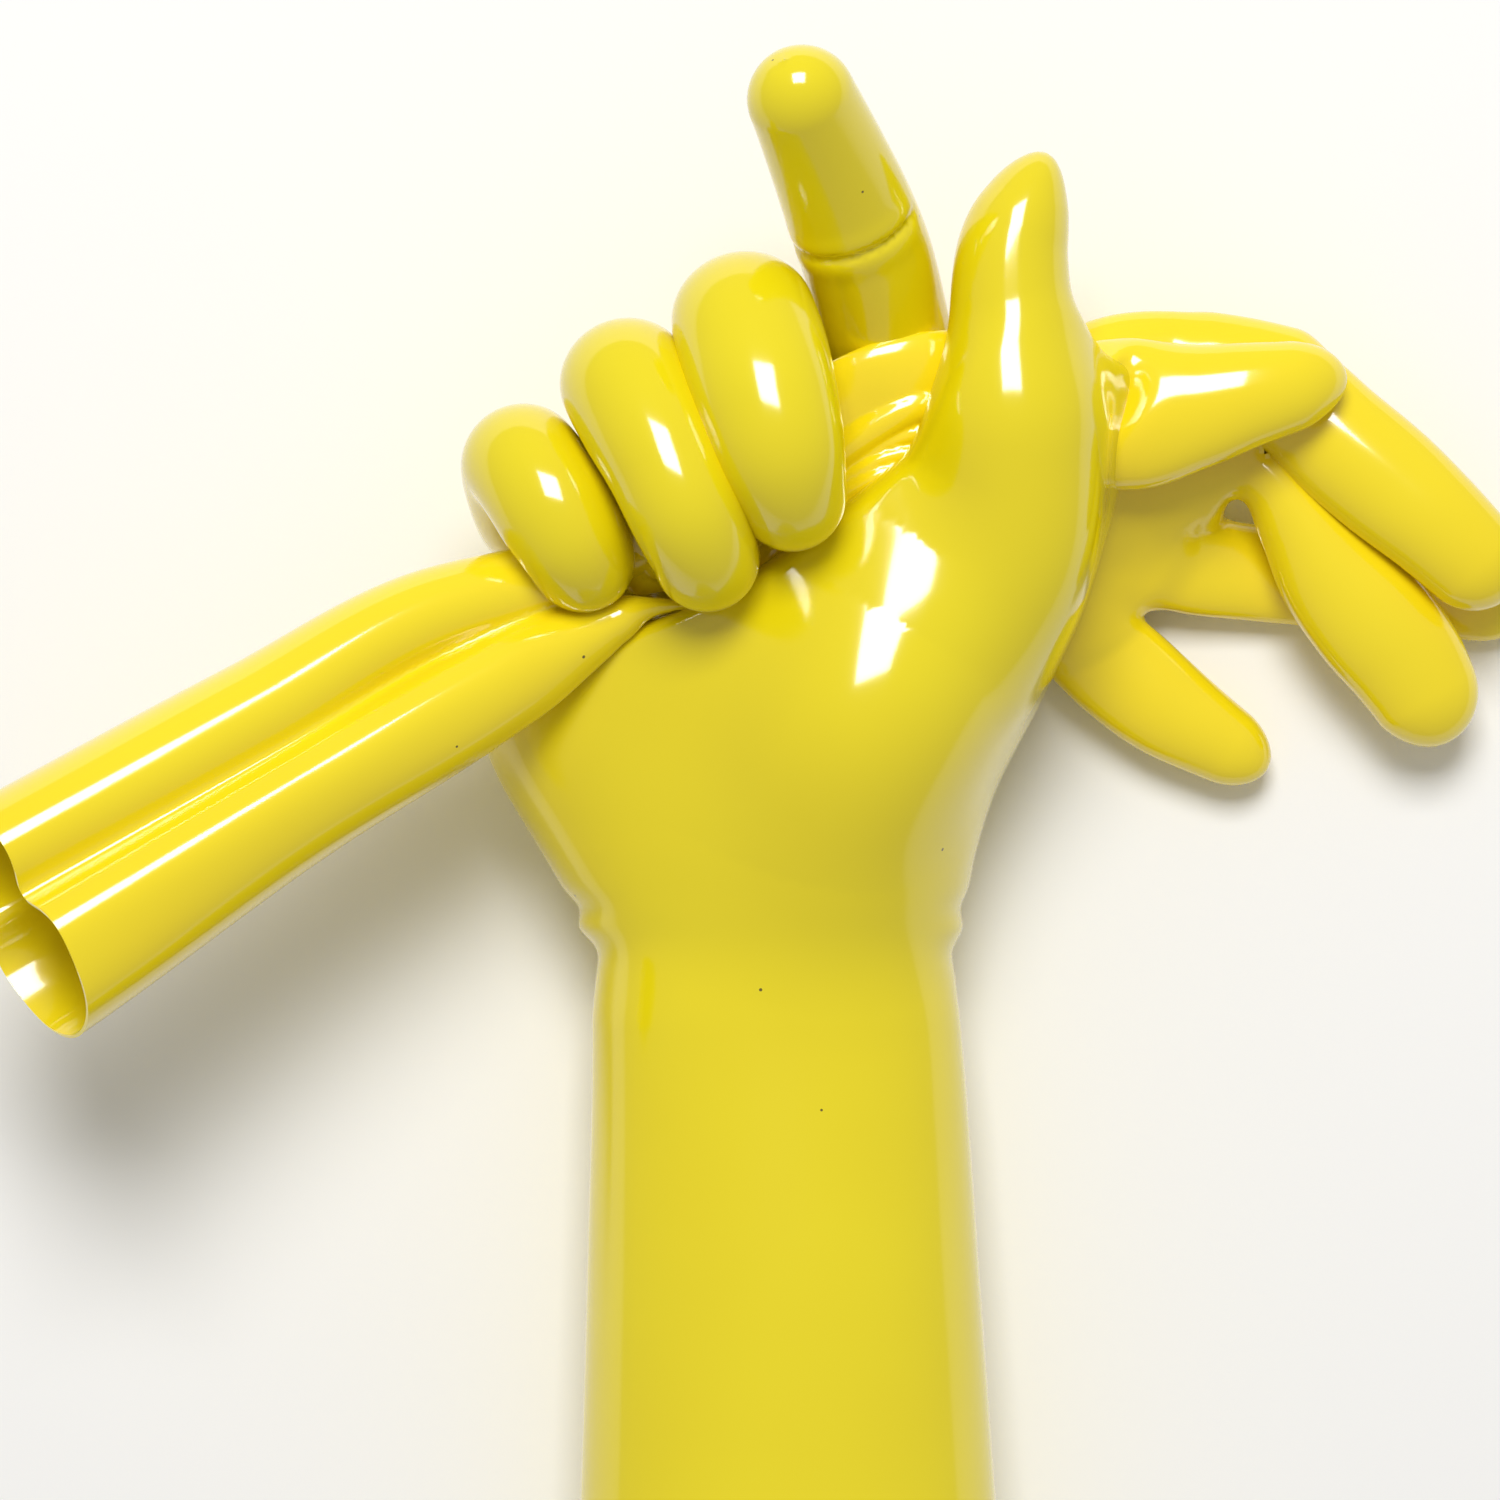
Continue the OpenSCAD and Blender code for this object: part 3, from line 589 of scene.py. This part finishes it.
def build_filled(wall, step, material):
    """The filled glove: its sleeve, its palm and the base and the tip of each finger."""
    tubes = filled_tubes()
    skins = hand_skins(palm_field, tubes, FILLED_FILLETS, FILLED_SPACE, step, index_crease)
    palm = skins["palm"]
    palm.trim((0, CUFF_Y, 0), (0, -1, 0))
    stay, fingers = split_hand(palm_field, tubes, skins, FILLED_SEAMS)
    sleeve = palm.centres()[:, 1] < SLEEVE_SEAM_Y
    piece = palm.piece("filled_sleeve", sleeve & stay, wall, material)
    bend(piece, "worn_sleeve", "worn_palm", hinge("wrist_bend"), np.array([0, 1, 0]), WRIST_REACH,
         "filled_latex", "worn_sleeve")
    piece = palm.piece("filled_palm", ~sleeve & stay, wall, material)
    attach(piece, "worn_palm")
    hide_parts("worn_palm")
    for name, (own, run) in fingers.items():
        tube = tubes[name]
        root, mid = name + "_knuckle", name + "_middle"
        if name == "thumb":
            root, mid = "thumb_swing", "thumb_tip_bend"
        k, m = hinge(root), hinge(mid)
        along = (m - k) / np.linalg.norm(m - k)
        back = np.array([0, 1, 0]) if name == "thumb" else np.cross(UP, axis(root))
        past = np.linalg.norm(m - k) + 6 - tube.start
        ahead = tube.at(np.array([past]))[0, 5:8]
        base, tip = f"worn_{name}_base", f"worn_{name}_tip"
        low = run <= TIP_SEAMS[name]
        piece = skins[name].piece(f"filled_{name}_base", own & low, wall, material)
        bend(piece, "worn_palm", base, k, along + back, KNUCKLE_REACH, "filled_latex", base)
        piece = skins[name].piece(f"filled_{name}_tip", own & ~low, wall, material)
        bend(piece, base, tip, m, along + ahead, MIDDLE_REACH, "filled_latex", tip)


# ---------------------------------------------------------------- the empty glove's forms

SLEEVE_ROOT = hinge("held_sleeve_swing")
SLEEVE_SIDE = axis("held_sleeve_swing")
SLEEVE_WAY = heading(120.5, 12)
SLEEVE_UP = np.cross(SLEEVE_SIDE, SLEEVE_WAY)
SLEEVE_SPACE = ((-158, -32, 26), (-8, 78, 92))
SLEEVE_LONG = 110.5   # from the fist to the rim
SLEEVE_REACH = 9      # how far its flex line reaches into the skin
RIM_SLANT = 0.33      # how much the rim leans


def on_sleeve(s, q, p, w, h):
    """A row at length s from the fist, q towards the upper edge and p above the middle."""
    return [*(SLEEVE_ROOT + s * SLEEVE_WAY + q * SLEEVE_SIDE + p * SLEEVE_UP), w, h]


def sleeve_tubes():
    """The upper lobe of the folded sleeve, and the crest and the flank of its lower lobe. The flank
    starts as the curled tail that comes out of the fist."""
    upper = Tube([[-24, 68, 43.5, 4.5, 4], [-31, 66, 44.5, 5.5, 5.5],
                  on_sleeve(4, 6.6, 0, 6.9, 7), on_sleeve(20, 10.2, 0, 8, 9),
                  on_sleeve(56, 10.4, 1.2, 9.4, 11.2), on_sleeve(112, 11.2, 3, 10, 13),
                  on_sleeve(140, 11.6, 4, 10.4, 13.4)], SLEEVE_SIDE)
    crest = Tube([[-27.2, 55.9, 47, 3, 3],
                  on_sleeve(6, -4.2, 0.5, 5.5, 6.6), on_sleeve(20, -3.8, 0.6, 6.5, 9),
                  on_sleeve(56, -4.4, 1.4, 8, 12), on_sleeve(112, -5.2, 3.4, 8.6, 14),
                  on_sleeve(140, -5.4, 4.4, 9, 14.4)], SLEEVE_SIDE)
    flank = Tube([[-14.1, 58.3, 46.3, 0.5, 0.6], [-19, 58.4, 47.3, 1.4, 1.5],
                  [-23.2, 57.7, 47.6, 2.2, 2.4], [-27.4, 55.9, 47, 3.1, 3.6],
                  [-31.4, 53.2, 46.5, 4.6, 5.2], [-39.2, 48.6, 47.5, 7, 7],
                  on_sleeve(20, -7.6, 0, 7.8, 8.4), on_sleeve(56, -8.2, 0, 8.8, 10.6),
                  on_sleeve(112, -10.4, 3.4, 12, 13), on_sleeve(140, -11, 4.6, 12.6, 13.4)],
                 SLEEVE_SIDE)
    return upper, crest, flank


def build_sleeve(wall, step, material):
    """The hollow sleeve of the empty glove, whose fold opens out towards the rim."""
    upper, crest, flank = sleeve_tubes()

    def field(points):
        d, along = upper.measure(points)
        lower = smooth_min(crest(points), flank(points), 5)
        round_off = np.interp(along, [0, 30, 90, 150], [1, 1.6, 3.4, 5])
        return smooth_min(d, lower, round_off)

    skin = Skin(field, *SLEEVE_SPACE, step)
    rim = SLEEVE_WAY + RIM_SLANT * SLEEVE_UP
    skin.trim(SLEEVE_ROOT + SLEEVE_LONG * SLEEVE_WAY, rim / np.linalg.norm(rim))
    piece = skin.piece("empty_sleeve", np.ones(len(skin.quads), bool), wall, material)
    bend(piece, "worn_palm", "held_sleeve", SLEEVE_ROOT, SLEEVE_WAY * [1, 1, 0], SLEEVE_REACH,
         "empty_latex", "held_sleeve")


WAIST_SPACE = ((-44, 50, 12), (70, 112, 56))
WAIST_FILLET = 0.5    # keeps the creases between the pleats sharp


def waist_folds():
    """The pleats of the waist, from the broad upper fold to the sheet below them all."""
    tilt = (-0.35, 0.85, 0.28)
    return [
        Tube([[-34, 66, 43, 5, 4.5], [-22, 70.5, 43, 7, 5], [-8, 76, 43, 8, 4.6],
              [4, 83, 43.2, 8.5, 4], [13, 92, 45.6, 9.2, 3.2], [22, 96.6, 46.8, 8.8, 3],
              [31, 98.6, 45, 8, 3], [38, 96, 38, 8, 4], [47, 91, 28, 8, 6], [56, 90, 23, 9, 6]],
             tilt),
        Tube([[-20, 66, 44, 3, 3], [-6, 73.5, 44.6, 3.2, 3.2], [4, 79.5, 45, 3.3, 3.2],
              [13.5, 86.4, 46, 3.3, 3], [19, 90, 46.6, 3.4, 3], [24.5, 92.8, 46.6, 3.4, 3],
              [31, 94.4, 44.5, 3.4, 3], [40, 93, 35, 4, 4]], tilt),
        Tube([[-12, 66.5, 43.6, 2, 2], [2, 76.4, 44.3, 1.8, 2], [13.4, 83.2, 45.2, 1.2, 1.8],
              [20, 86.9, 45.9, 1.7, 2], [28, 89.2, 45.5, 2.4, 2.2], [36, 89, 38, 3, 3]], tilt),
        Tube([[-12, 64, 43.6, 2, 2], [2, 74, 44.3, 1.8, 2], [13, 80.9, 45.3, 1.5, 1.9],
              [20, 84.4, 46, 1.7, 2], [28, 85.6, 45, 1.9, 2], [36, 85, 38, 3, 3]], tilt),
        Tube([[-12, 61, 43, 2, 2], [-3, 65.5, 43.6, 2, 2.2], [5, 73, 44.2, 2.2, 2.4],
              [13, 78.4, 45.1, 2, 2.2], [20, 81.6, 45.7, 2.2, 2.3], [28, 82.6, 44, 2.4, 2.4],
              [36, 81, 38, 3, 3]], tilt),
        Tube([[-14, 60, 42, 2, 2], [-3, 64, 43.4, 2.2, 2.4], [5, 69.6, 44, 2.4, 2.6],
              [13, 75.2, 44.4, 2.4, 2.4], [20, 78.6, 44.4, 2.4, 2.4], [28, 79.6, 42, 3, 3]], tilt),
        Tube([[-24, 65, 42, 5, 3], [-8, 70, 41.5, 7, 3], [6, 77, 41.5, 8, 3], [18, 84, 42, 8, 3],
              [28, 88, 41, 8, 3], [38, 89, 34, 8, 5], [50, 89, 25, 9, 6.5]], tilt)]


def joined(tubes, fillet, points):
    """Distance to several tubes that melt into one another."""
    d = tubes[0](points)
    for tube in tubes[1:]:
        d = smooth_min(d, tube(points), fillet)
    return d


def build_waist(wall, step, material):
    """The pleated waist, which doesn't bend because the fist holds it."""
    folds = waist_folds()
    skin = Skin(lambda points: joined(folds, WAIST_FILLET, points), *WAIST_SPACE, step)
    piece = skin.piece("empty_waist", np.ones(len(skin.quads), bool), wall, material)
    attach(piece, "worn_palm")
    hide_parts("held_waist")


def empty_tubes():
    """The five fingers of the empty hand; lengths run from each flex line."""
    names = ("thumb", "index", "middle", "ring", "little")
    flat = {name: axis(f"held_{name}_lift") for name in names}
    zero = {name: hinge(f"held_{name}_lift") for name in flat}
    return {
        "thumb": Tube([[45, 90.4, 25, 10, 8], [50, 91.4, 27.4, 11.6, 8], [57, 92.6, 30.6, 13, 7.8],
                       [65, 92.8, 32.4, 13.4, 7.6], [75.8, 94.2, 33, 11, 7],
                       [84, 96, 33.2, 9.4, 6.6], [90, 97.2, 32.8, 8.4, 6.2],
                       [96, 98.6, 31.6, 7.4, 5.6], [102, 99.6, 30, 6.6, 5]],
                      flat["thumb"], zero["thumb"], 10),
        "index": Tube([[78, 101, 19.6, 9, 6], [92, 97.4, 19.8, 10, 6.4],
                       [101.4, 88.8, 20.6, 10.8, 7], [110.8, 80.8, 21.2, 10.8, 7.2],
                       [118.6, 74, 21.4, 10, 7.2], [126, 67, 20.8, 9.2, 6.8],
                       [132.5, 61, 19.2, 8.6, 6.2]], flat["index"], zero["index"], 9),
        "middle": Tube([[82, 88.6, 16, 6, 5.5], [90.6, 80.8, 16.4, 6.2, 6],
                        [94.8, 74.4, 16, 7.6, 6.6], [100.8, 65.4, 15.6, 10, 7.2],
                        [108, 57, 15.2, 11.2, 7.4], [114.3, 49.4, 14.4, 10.8, 7],
                        [118.8, 42, 13.2, 9.8, 6.6], [122.4, 34.6, 11.8, 9, 6]],
                       flat["middle"], zero["middle"], 10),
        "ring": Tube([[66, 70, 9, 9, 4.8], [76, 67.2, 7, 9.2, 4.6], [87.2, 65.6, 5.6, 8.8, 4.4],
                      [100, 65, 5, 9.4, 4.4], [114.5, 63.8, 5, 9.4, 4.4],
                      [127.2, 62, 5, 8.8, 4.4], [139, 60.4, 5, 8, 4.2]],
                     flat["ring"], zero["ring"], 9),
        "little": Tube([[55, 55, 9, 9, 5], [62.2, 48.8, 8.4, 9.7, 5.4], [71.5, 41.2, 8, 9.2, 5.6],
                        [80.6, 35.4, 7.4, 7.6, 5.4], [85, 32.8, 7, 6.8, 5],
                        [90.4, 29.8, 6.4, 6, 4.6]], flat["little"], zero["little"], 8)}


# The limp palm: a broad tube from the waist to each finger, and one that fills the web.
HELD = [
    Tube([[46, 91, 25, 9, 7], [60, 100, 21, 10.5, 6.4], [78, 101.5, 19.6, 10, 6],
          [92, 98.5, 20.4, 10, 6.4]], (0.2, 1, 0)),
    Tube([[46, 88, 24, 9, 7], [62, 87, 18, 10, 6], [80, 86, 15.6, 8, 5.4]], (0, 1, 0)),
    Tube([[46, 84, 21, 9, 6], [60, 76, 14, 10, 5.6], [70, 70, 9, 9.4, 5]], (0.3, 1, 0)),
    Tube([[46, 76, 18, 9, 6], [53, 65, 13, 10.5, 6], [58, 54, 10, 9.5, 5.4]], (0.6, 0.6, 0)),
    Tube([[58, 80, 16, 9, 6], [68, 77, 13, 7.5, 6], [77, 77.5, 11.5, 4, 4.5]], (0, 1, 0))]
HELD_FILLET = 6
EMPTY_SPACE = ((34, 20, 0), (112, 118, 46))
LIFT_WAY = (-100, -26)                  # heading of the palm where it leaves the fist
LIFT_REACH, EMPTY_FINGER_REACH = 6, 5   # how far each flex line reaches into the skin

# For each finger: the fillet to the palm, and where along it its skin begins.
EMPTY_FILLETS = {"thumb": 1.5, "index": 4, "middle": 3, "ring": 5, "little": 1.5}
EMPTY_SEAMS = {"thumb": -3, "index": -4, "middle": -4, "ring": -4, "little": -4}


def empty_palm(points):
    """The limp palm of the empty glove without its fingers."""
    return joined(HELD, HELD_FILLET, points)


def thumb_crumple(name, points, along):
    """The dent and the ridge where the flat thumb of the empty glove leaves the fist."""
    if name != "thumb":
        return 0.0
    x, y, z = points.T
    top = np.clip((z - 31) / 5, 0, 1)
    length, across = 0.65 * x + 0.76 * y, 0.65 * y - 0.76 * x
    dent = 3.2 * bump(length, 111, 7) * bump(across, 15.9, 3.6)
    ridge = 1.6 * bump(across, 20.4, 1.6) * bump(length, 113.9, 5)
    return top * (dent - ridge)


def build_empty_hand(wall, step, material):
    """The limp hand of the empty glove: its palm and its five fingers."""
    tubes = empty_tubes()
    skins = hand_skins(empty_palm, tubes, EMPTY_FILLETS, EMPTY_SPACE, step, thumb_crumple)
    stay, fingers = split_hand(empty_palm, tubes, skins, EMPTY_SEAMS)
    piece = skins["palm"].piece("empty_palm", stay, wall, material)
    bend(piece, "worn_palm", "held_palm", hinge("held_hand_lift"), heading(*LIFT_WAY), LIFT_REACH,
         "empty_latex", "held_palm")
    for name, (own, run) in fingers.items():
        piece = skins[name].piece(f"empty_{name}", own, wall, material)
        side, place = axis(f"held_{name}_lift"), hinge(f"held_{name}_lift")
        way = tubes[name].way(place)
        bend(piece, "held_palm", f"held_{name}", place, way - (way @ side) * side,
             EMPTY_FINGER_REACH, "empty_latex", f"held_{name}")


# ---------------------------------------------------------------- rubber

def rgb(code):
    """Linear colour of an sRGB hex value."""
    values = [int(code[i:i + 2], 16) / 255 for i in (1, 3, 5)]
    return [v / 12.92 if v <= 0.04045 else ((v + 0.055) / 1.055) ** 2.4
            for v in values] + [1.0]


def add(tree, kind, links=(), **settings):
    """Adds a node, sets its sockets or properties and links (output socket, input name) pairs."""
    node = tree.nodes.new(kind)
    for name, value in settings.items():
        if name in node.inputs:
            node.inputs[name].default_value = value
        else:
            setattr(node, name, value)
    for output, name in links:
        tree.links.new(output, node.inputs[name])
    return node


CLOUDS = 22.0         # patterns in each metre: clouds of colour 45 mm long
WAVES = 50.0          # waves of 20 mm
WAVE_HEIGHT, WAVE_STRENGTH = 0.0003, 0.35
SPECKS = 78.0         # specks about 13 mm apart, of which only those that reach the skin show
SPECK_SIZE = 0.024    # radius as a share of their distance, so they are 0.6 mm across; real specks
                      # are finer, and these are drawn as coarse as they need to show
DUST = "#6E5F10"
LATEX_IOR = 1.6       # rubber has about 1.52; a little more matches the strength of its gloss
COAT, COAT_ROUGHNESS = 0.6, 0.04


def latex(name, colour, deep, roughness):
    """Dipped latex: a former is lowered into liquid rubber, so the skin is wet-smooth with a faint
    waviness where it ran, slightly uneven in colour, and has a few dark specks of dust cured in.
    The body of the rubber scatters light; the thin smooth skin over it gives the sharp gloss."""
    material = bpy.data.materials.new(name)
    material.use_nodes = True
    tree = material.node_tree
    tree.nodes.clear()
    out = add(tree, "ShaderNodeOutputMaterial")
    place = add(tree, "ShaderNodeTexCoord").outputs["Object"]
    cloud = add(tree, "ShaderNodeTexNoise", [(place, "Vector")], Scale=CLOUDS, Detail=2.0)
    tint = add(tree, "ShaderNodeMix", [(cloud.outputs["Fac"], "Factor")], data_type="RGBA")
    tint.inputs["A"].default_value = deep
    tint.inputs["B"].default_value = colour
    dust = add(tree, "ShaderNodeTexVoronoi", [(place, "Vector")], Scale=SPECKS)
    speck = add(tree, "ShaderNodeMath", [(dust.outputs["Distance"], 0)], operation="LESS_THAN")
    speck.inputs[1].default_value = SPECK_SIZE
    base = add(tree, "ShaderNodeMix", [(speck.outputs[0], "Factor")], data_type="RGBA")
    base.inputs["B"].default_value = rgb(DUST)
    tree.links.new(tint.outputs["Result"], base.inputs["A"])
    wave = add(tree, "ShaderNodeTexNoise", [(place, "Vector")], Scale=WAVES, Detail=1.0)
    relief = add(tree, "ShaderNodeBump", [(wave.outputs["Fac"], "Height")],
                 Strength=WAVE_STRENGTH, Distance=WAVE_HEIGHT)
    skin = add(tree, "ShaderNodeBsdfPrincipled", [(relief.outputs["Normal"], "Normal")],
               Roughness=roughness, IOR=LATEX_IOR)
    skin.inputs["Coat Weight"].default_value = COAT
    skin.inputs["Coat Roughness"].default_value = COAT_ROUGHNESS
    tree.links.new(base.outputs["Result"], skin.inputs["Base Color"])
    tree.links.new(skin.outputs[0], out.inputs["Surface"])
    return material


# ---------------------------------------------------------------- stage

CAMERA_PLACE = (-0.0037, 0.0333, 1.0)     # looks straight down at the gloves
LENS, SENSOR, CLIP = 131.3, 36, 0.05      # mm, mm, m
LAMP_AIM = Vector((0.0, 0.04, 0.03))
LAMP_OFFSET = Vector((-0.04, 1.0, 1.76))  # from the aim: behind the fingertips and high up
TABLE_HALF = 1.6
TABLE_WHITE, TABLE_ROUGHNESS = "#FAF9F7", 0.6


def build_stage(settings):
    """The camera, the softbox, the even light of the room and the white table."""
    scene = bpy.context.scene
    camera = bpy.data.objects.new("camera", bpy.data.cameras.new("camera"))
    scene.collection.objects.link(camera)
    camera.location = CAMERA_PLACE
    camera.data.lens = LENS
    camera.data.sensor_width = SENSOR
    camera.data.clip_start = CLIP
    scene.camera = camera
    lamp = bpy.data.lights.new("softbox", "AREA")
    lamp.shape = "SQUARE"
    lamp.size = settings.size
    lamp.energy = settings.power
    box = bpy.data.objects.new("softbox", lamp)
    scene.collection.objects.link(box)
    box.location = LAMP_AIM + LAMP_OFFSET
    box.rotation_euler = (LAMP_AIM - box.location).to_track_quat("-Z", "Y").to_euler()
    world = bpy.data.worlds.new("studio")
    scene.world = world
    world.use_nodes = True
    room = world.node_tree.nodes["Background"].inputs
    room["Color"].default_value = (1, 1, 1, 1)
    room["Strength"].default_value = settings.room
    mesh = bpy.data.meshes.new("table")
    r = TABLE_HALF
    mesh.from_pydata([(-r, -r, 0), (r, -r, 0), (r, r, 0), (-r, r, 0)], [], [(0, 1, 2, 3)])
    table = bpy.data.objects.new("table", mesh)
    scene.collection.objects.link(table)
    material = bpy.data.materials.new("white_laminate")    # pressed melamine: matt, even white
    material.use_nodes = True
    top = material.node_tree.nodes["Principled BSDF"].inputs
    top["Base Color"].default_value = rgb(TABLE_WHITE)
    top["Roughness"].default_value = TABLE_ROUGHNESS
    mesh.materials.append(material)
    scene.view_settings.view_transform = "Standard"


# ---------------------------------------------------------------- the add-on

SLEEVE_SHARE, HAND_SHARE, WAIST_SHARE = 0.85, 0.85, 0.6     # mesh size of the empty glove's parts


def sizes(settings, share=1.0):
    """The wall and the mesh size in mm."""
    coarse = 1.0
    return settings.wall * IN_MM, settings.grid * IN_MM * coarse * share


def colour(name, description, code):
    """A colour that a user can change."""
    return bpy.props.FloatVectorProperty(
        name=name, description=description, default=rgb(code), size=4, min=0.0, max=1.0,
        subtype="COLOR")


class GlovesSettings(bpy.types.PropertyGroup):
    """Sizes and finish of both gloves."""
    wall: bpy.props.FloatProperty(
        name="Wall", description="Thickness of the dipped latex", default=0.0006, min=0.0002,
        max=0.002, unit="LENGTH", precision=4)
    grid: bpy.props.FloatProperty(
        name="Mesh size", description="Edge length of the faces of the filled glove",
        default=0.0012, min=0.0006, max=0.003, unit="LENGTH", precision=4)
    roughness: bpy.props.FloatProperty(
        name="Roughness", description="How dull the rubber is below its glossy skin",
        default=0.13, min=0.0, max=1.0, subtype="FACTOR")
    filled: colour("Filled glove", "Latex of the filled glove", "#F0DE0C")
    filled_deep: colour("Filled glove, deep", "The deeper of its two tints", "#E8D208")
    empty: colour("Empty glove", "Latex of the empty glove", "#FBE61A")
    empty_deep: colour("Empty glove, deep", "The deeper of its two tints", "#F8DA0C")


class GlovesStageSettings(bpy.types.PropertyGroup):
    """Light of the stage."""
    power: bpy.props.FloatProperty(
        name="Softbox power", description="Power of the softbox", default=31.0, min=0.0,
        unit="POWER")
    size: bpy.props.FloatProperty(
        name="Softbox size", description="Edge length of the softbox", default=0.84, min=0.05,
        unit="LENGTH")
    room: bpy.props.FloatProperty(
        name="Room light", description="Strength of the even light of the room", default=0.37,
        min=0.0, max=2.0, subtype="FACTOR")


def filled_rubber(settings):
    """The filled glove's latex."""
    return latex("glossy_latex_filled", settings.filled, settings.filled_deep, settings.roughness)


def empty_rubber(settings):
    """The empty glove's latex, made once for its three operators."""
    name = "glossy_latex_empty"
    return bpy.data.materials.get(name) or latex(
        name, settings.empty, settings.empty_deep, settings.roughness)


class GLOVES_OT_stage(bpy.types.Operator):
    """Add the white table, the softbox, the room light and the camera"""
    bl_idname = "gloves.stage"
    bl_label = "Stage"

    def execute(self, context):
        build_stage(context.scene.gloves_stage)
        return {"FINISHED"}


class GLOVES_OT_filled(bpy.types.Operator):
    """Add the filled glove: its sleeve, its palm and the two parts of each finger"""
    bl_idname = "gloves.filled"
    bl_label = "Filled glove"

    def execute(self, context):
        settings = context.scene.gloves
        build_filled(*sizes(settings), filled_rubber(settings))
        return {"FINISHED"}


class GLOVES_OT_empty_sleeve(bpy.types.Operator):
    """Add the hollow sleeve of the empty glove"""
    bl_idname = "gloves.empty_sleeve"
    bl_label = "Empty sleeve"

    def execute(self, context):
        settings = context.scene.gloves
        build_sleeve(*sizes(settings, SLEEVE_SHARE), empty_rubber(settings))
        return {"FINISHED"}


class GLOVES_OT_empty_waist(bpy.types.Operator):
    """Add the pleated waist of the empty glove, which the fist holds"""
    bl_idname = "gloves.empty_waist"
    bl_label = "Empty waist"

    def execute(self, context):
        settings = context.scene.gloves
        build_waist(*sizes(settings, WAIST_SHARE), empty_rubber(settings))
        return {"FINISHED"}


class GLOVES_OT_empty_hand(bpy.types.Operator):
    """Add the limp hand of the empty glove: its palm and five flat fingers"""
    bl_idname = "gloves.empty_hand"
    bl_label = "Empty hand"

    def execute(self, context):
        settings = context.scene.gloves
        build_empty_hand(*sizes(settings, HAND_SHARE), empty_rubber(settings))
        return {"FINISHED"}


OPERATORS = (GLOVES_OT_stage, GLOVES_OT_filled, GLOVES_OT_empty_sleeve, GLOVES_OT_empty_waist,
             GLOVES_OT_empty_hand)


class GLOVES_PT_panel(bpy.types.Panel):
    """Both gloves and their stage"""
    bl_idname = "GLOVES_PT_panel"
    bl_label = "Gloves"
    bl_space_type = "VIEW_3D"
    bl_region_type = "UI"
    bl_category = "Gloves"

    def draw(self, context):
        settings, stage = context.scene.gloves, context.scene.gloves_stage
        for name in ("wall", "grid", "roughness", "filled", "filled_deep", "empty", "empty_deep"):
            self.layout.prop(settings, name)
        for name in ("power", "size", "room"):
            self.layout.prop(stage, name)
        for operator in OPERATORS:
            self.layout.operator(operator.bl_idname)


CLASSES = (GlovesSettings, GlovesStageSettings, *OPERATORS, GLOVES_PT_panel)


def register():
    for cls in CLASSES:
        bpy.utils.register_class(cls)
    bpy.types.Scene.gloves = bpy.props.PointerProperty(type=GlovesSettings)
    bpy.types.Scene.gloves_stage = bpy.props.PointerProperty(type=GlovesStageSettings)


def unregister():
    del bpy.types.Scene.gloves_stage
    del bpy.types.Scene.gloves
    for cls in reversed(CLASSES):
        bpy.utils.unregister_class(cls)


def main():
    """Registers the add-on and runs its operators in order."""
    register()
    for step in (bpy.ops.gloves.stage, bpy.ops.gloves.filled, bpy.ops.gloves.empty_sleeve,
                 bpy.ops.gloves.empty_waist, bpy.ops.gloves.empty_hand):
        if step() != {"FINISHED"}:
            raise RuntimeError(f"{step.idname()} did not finish")


if __name__ == "__main__":
    main()
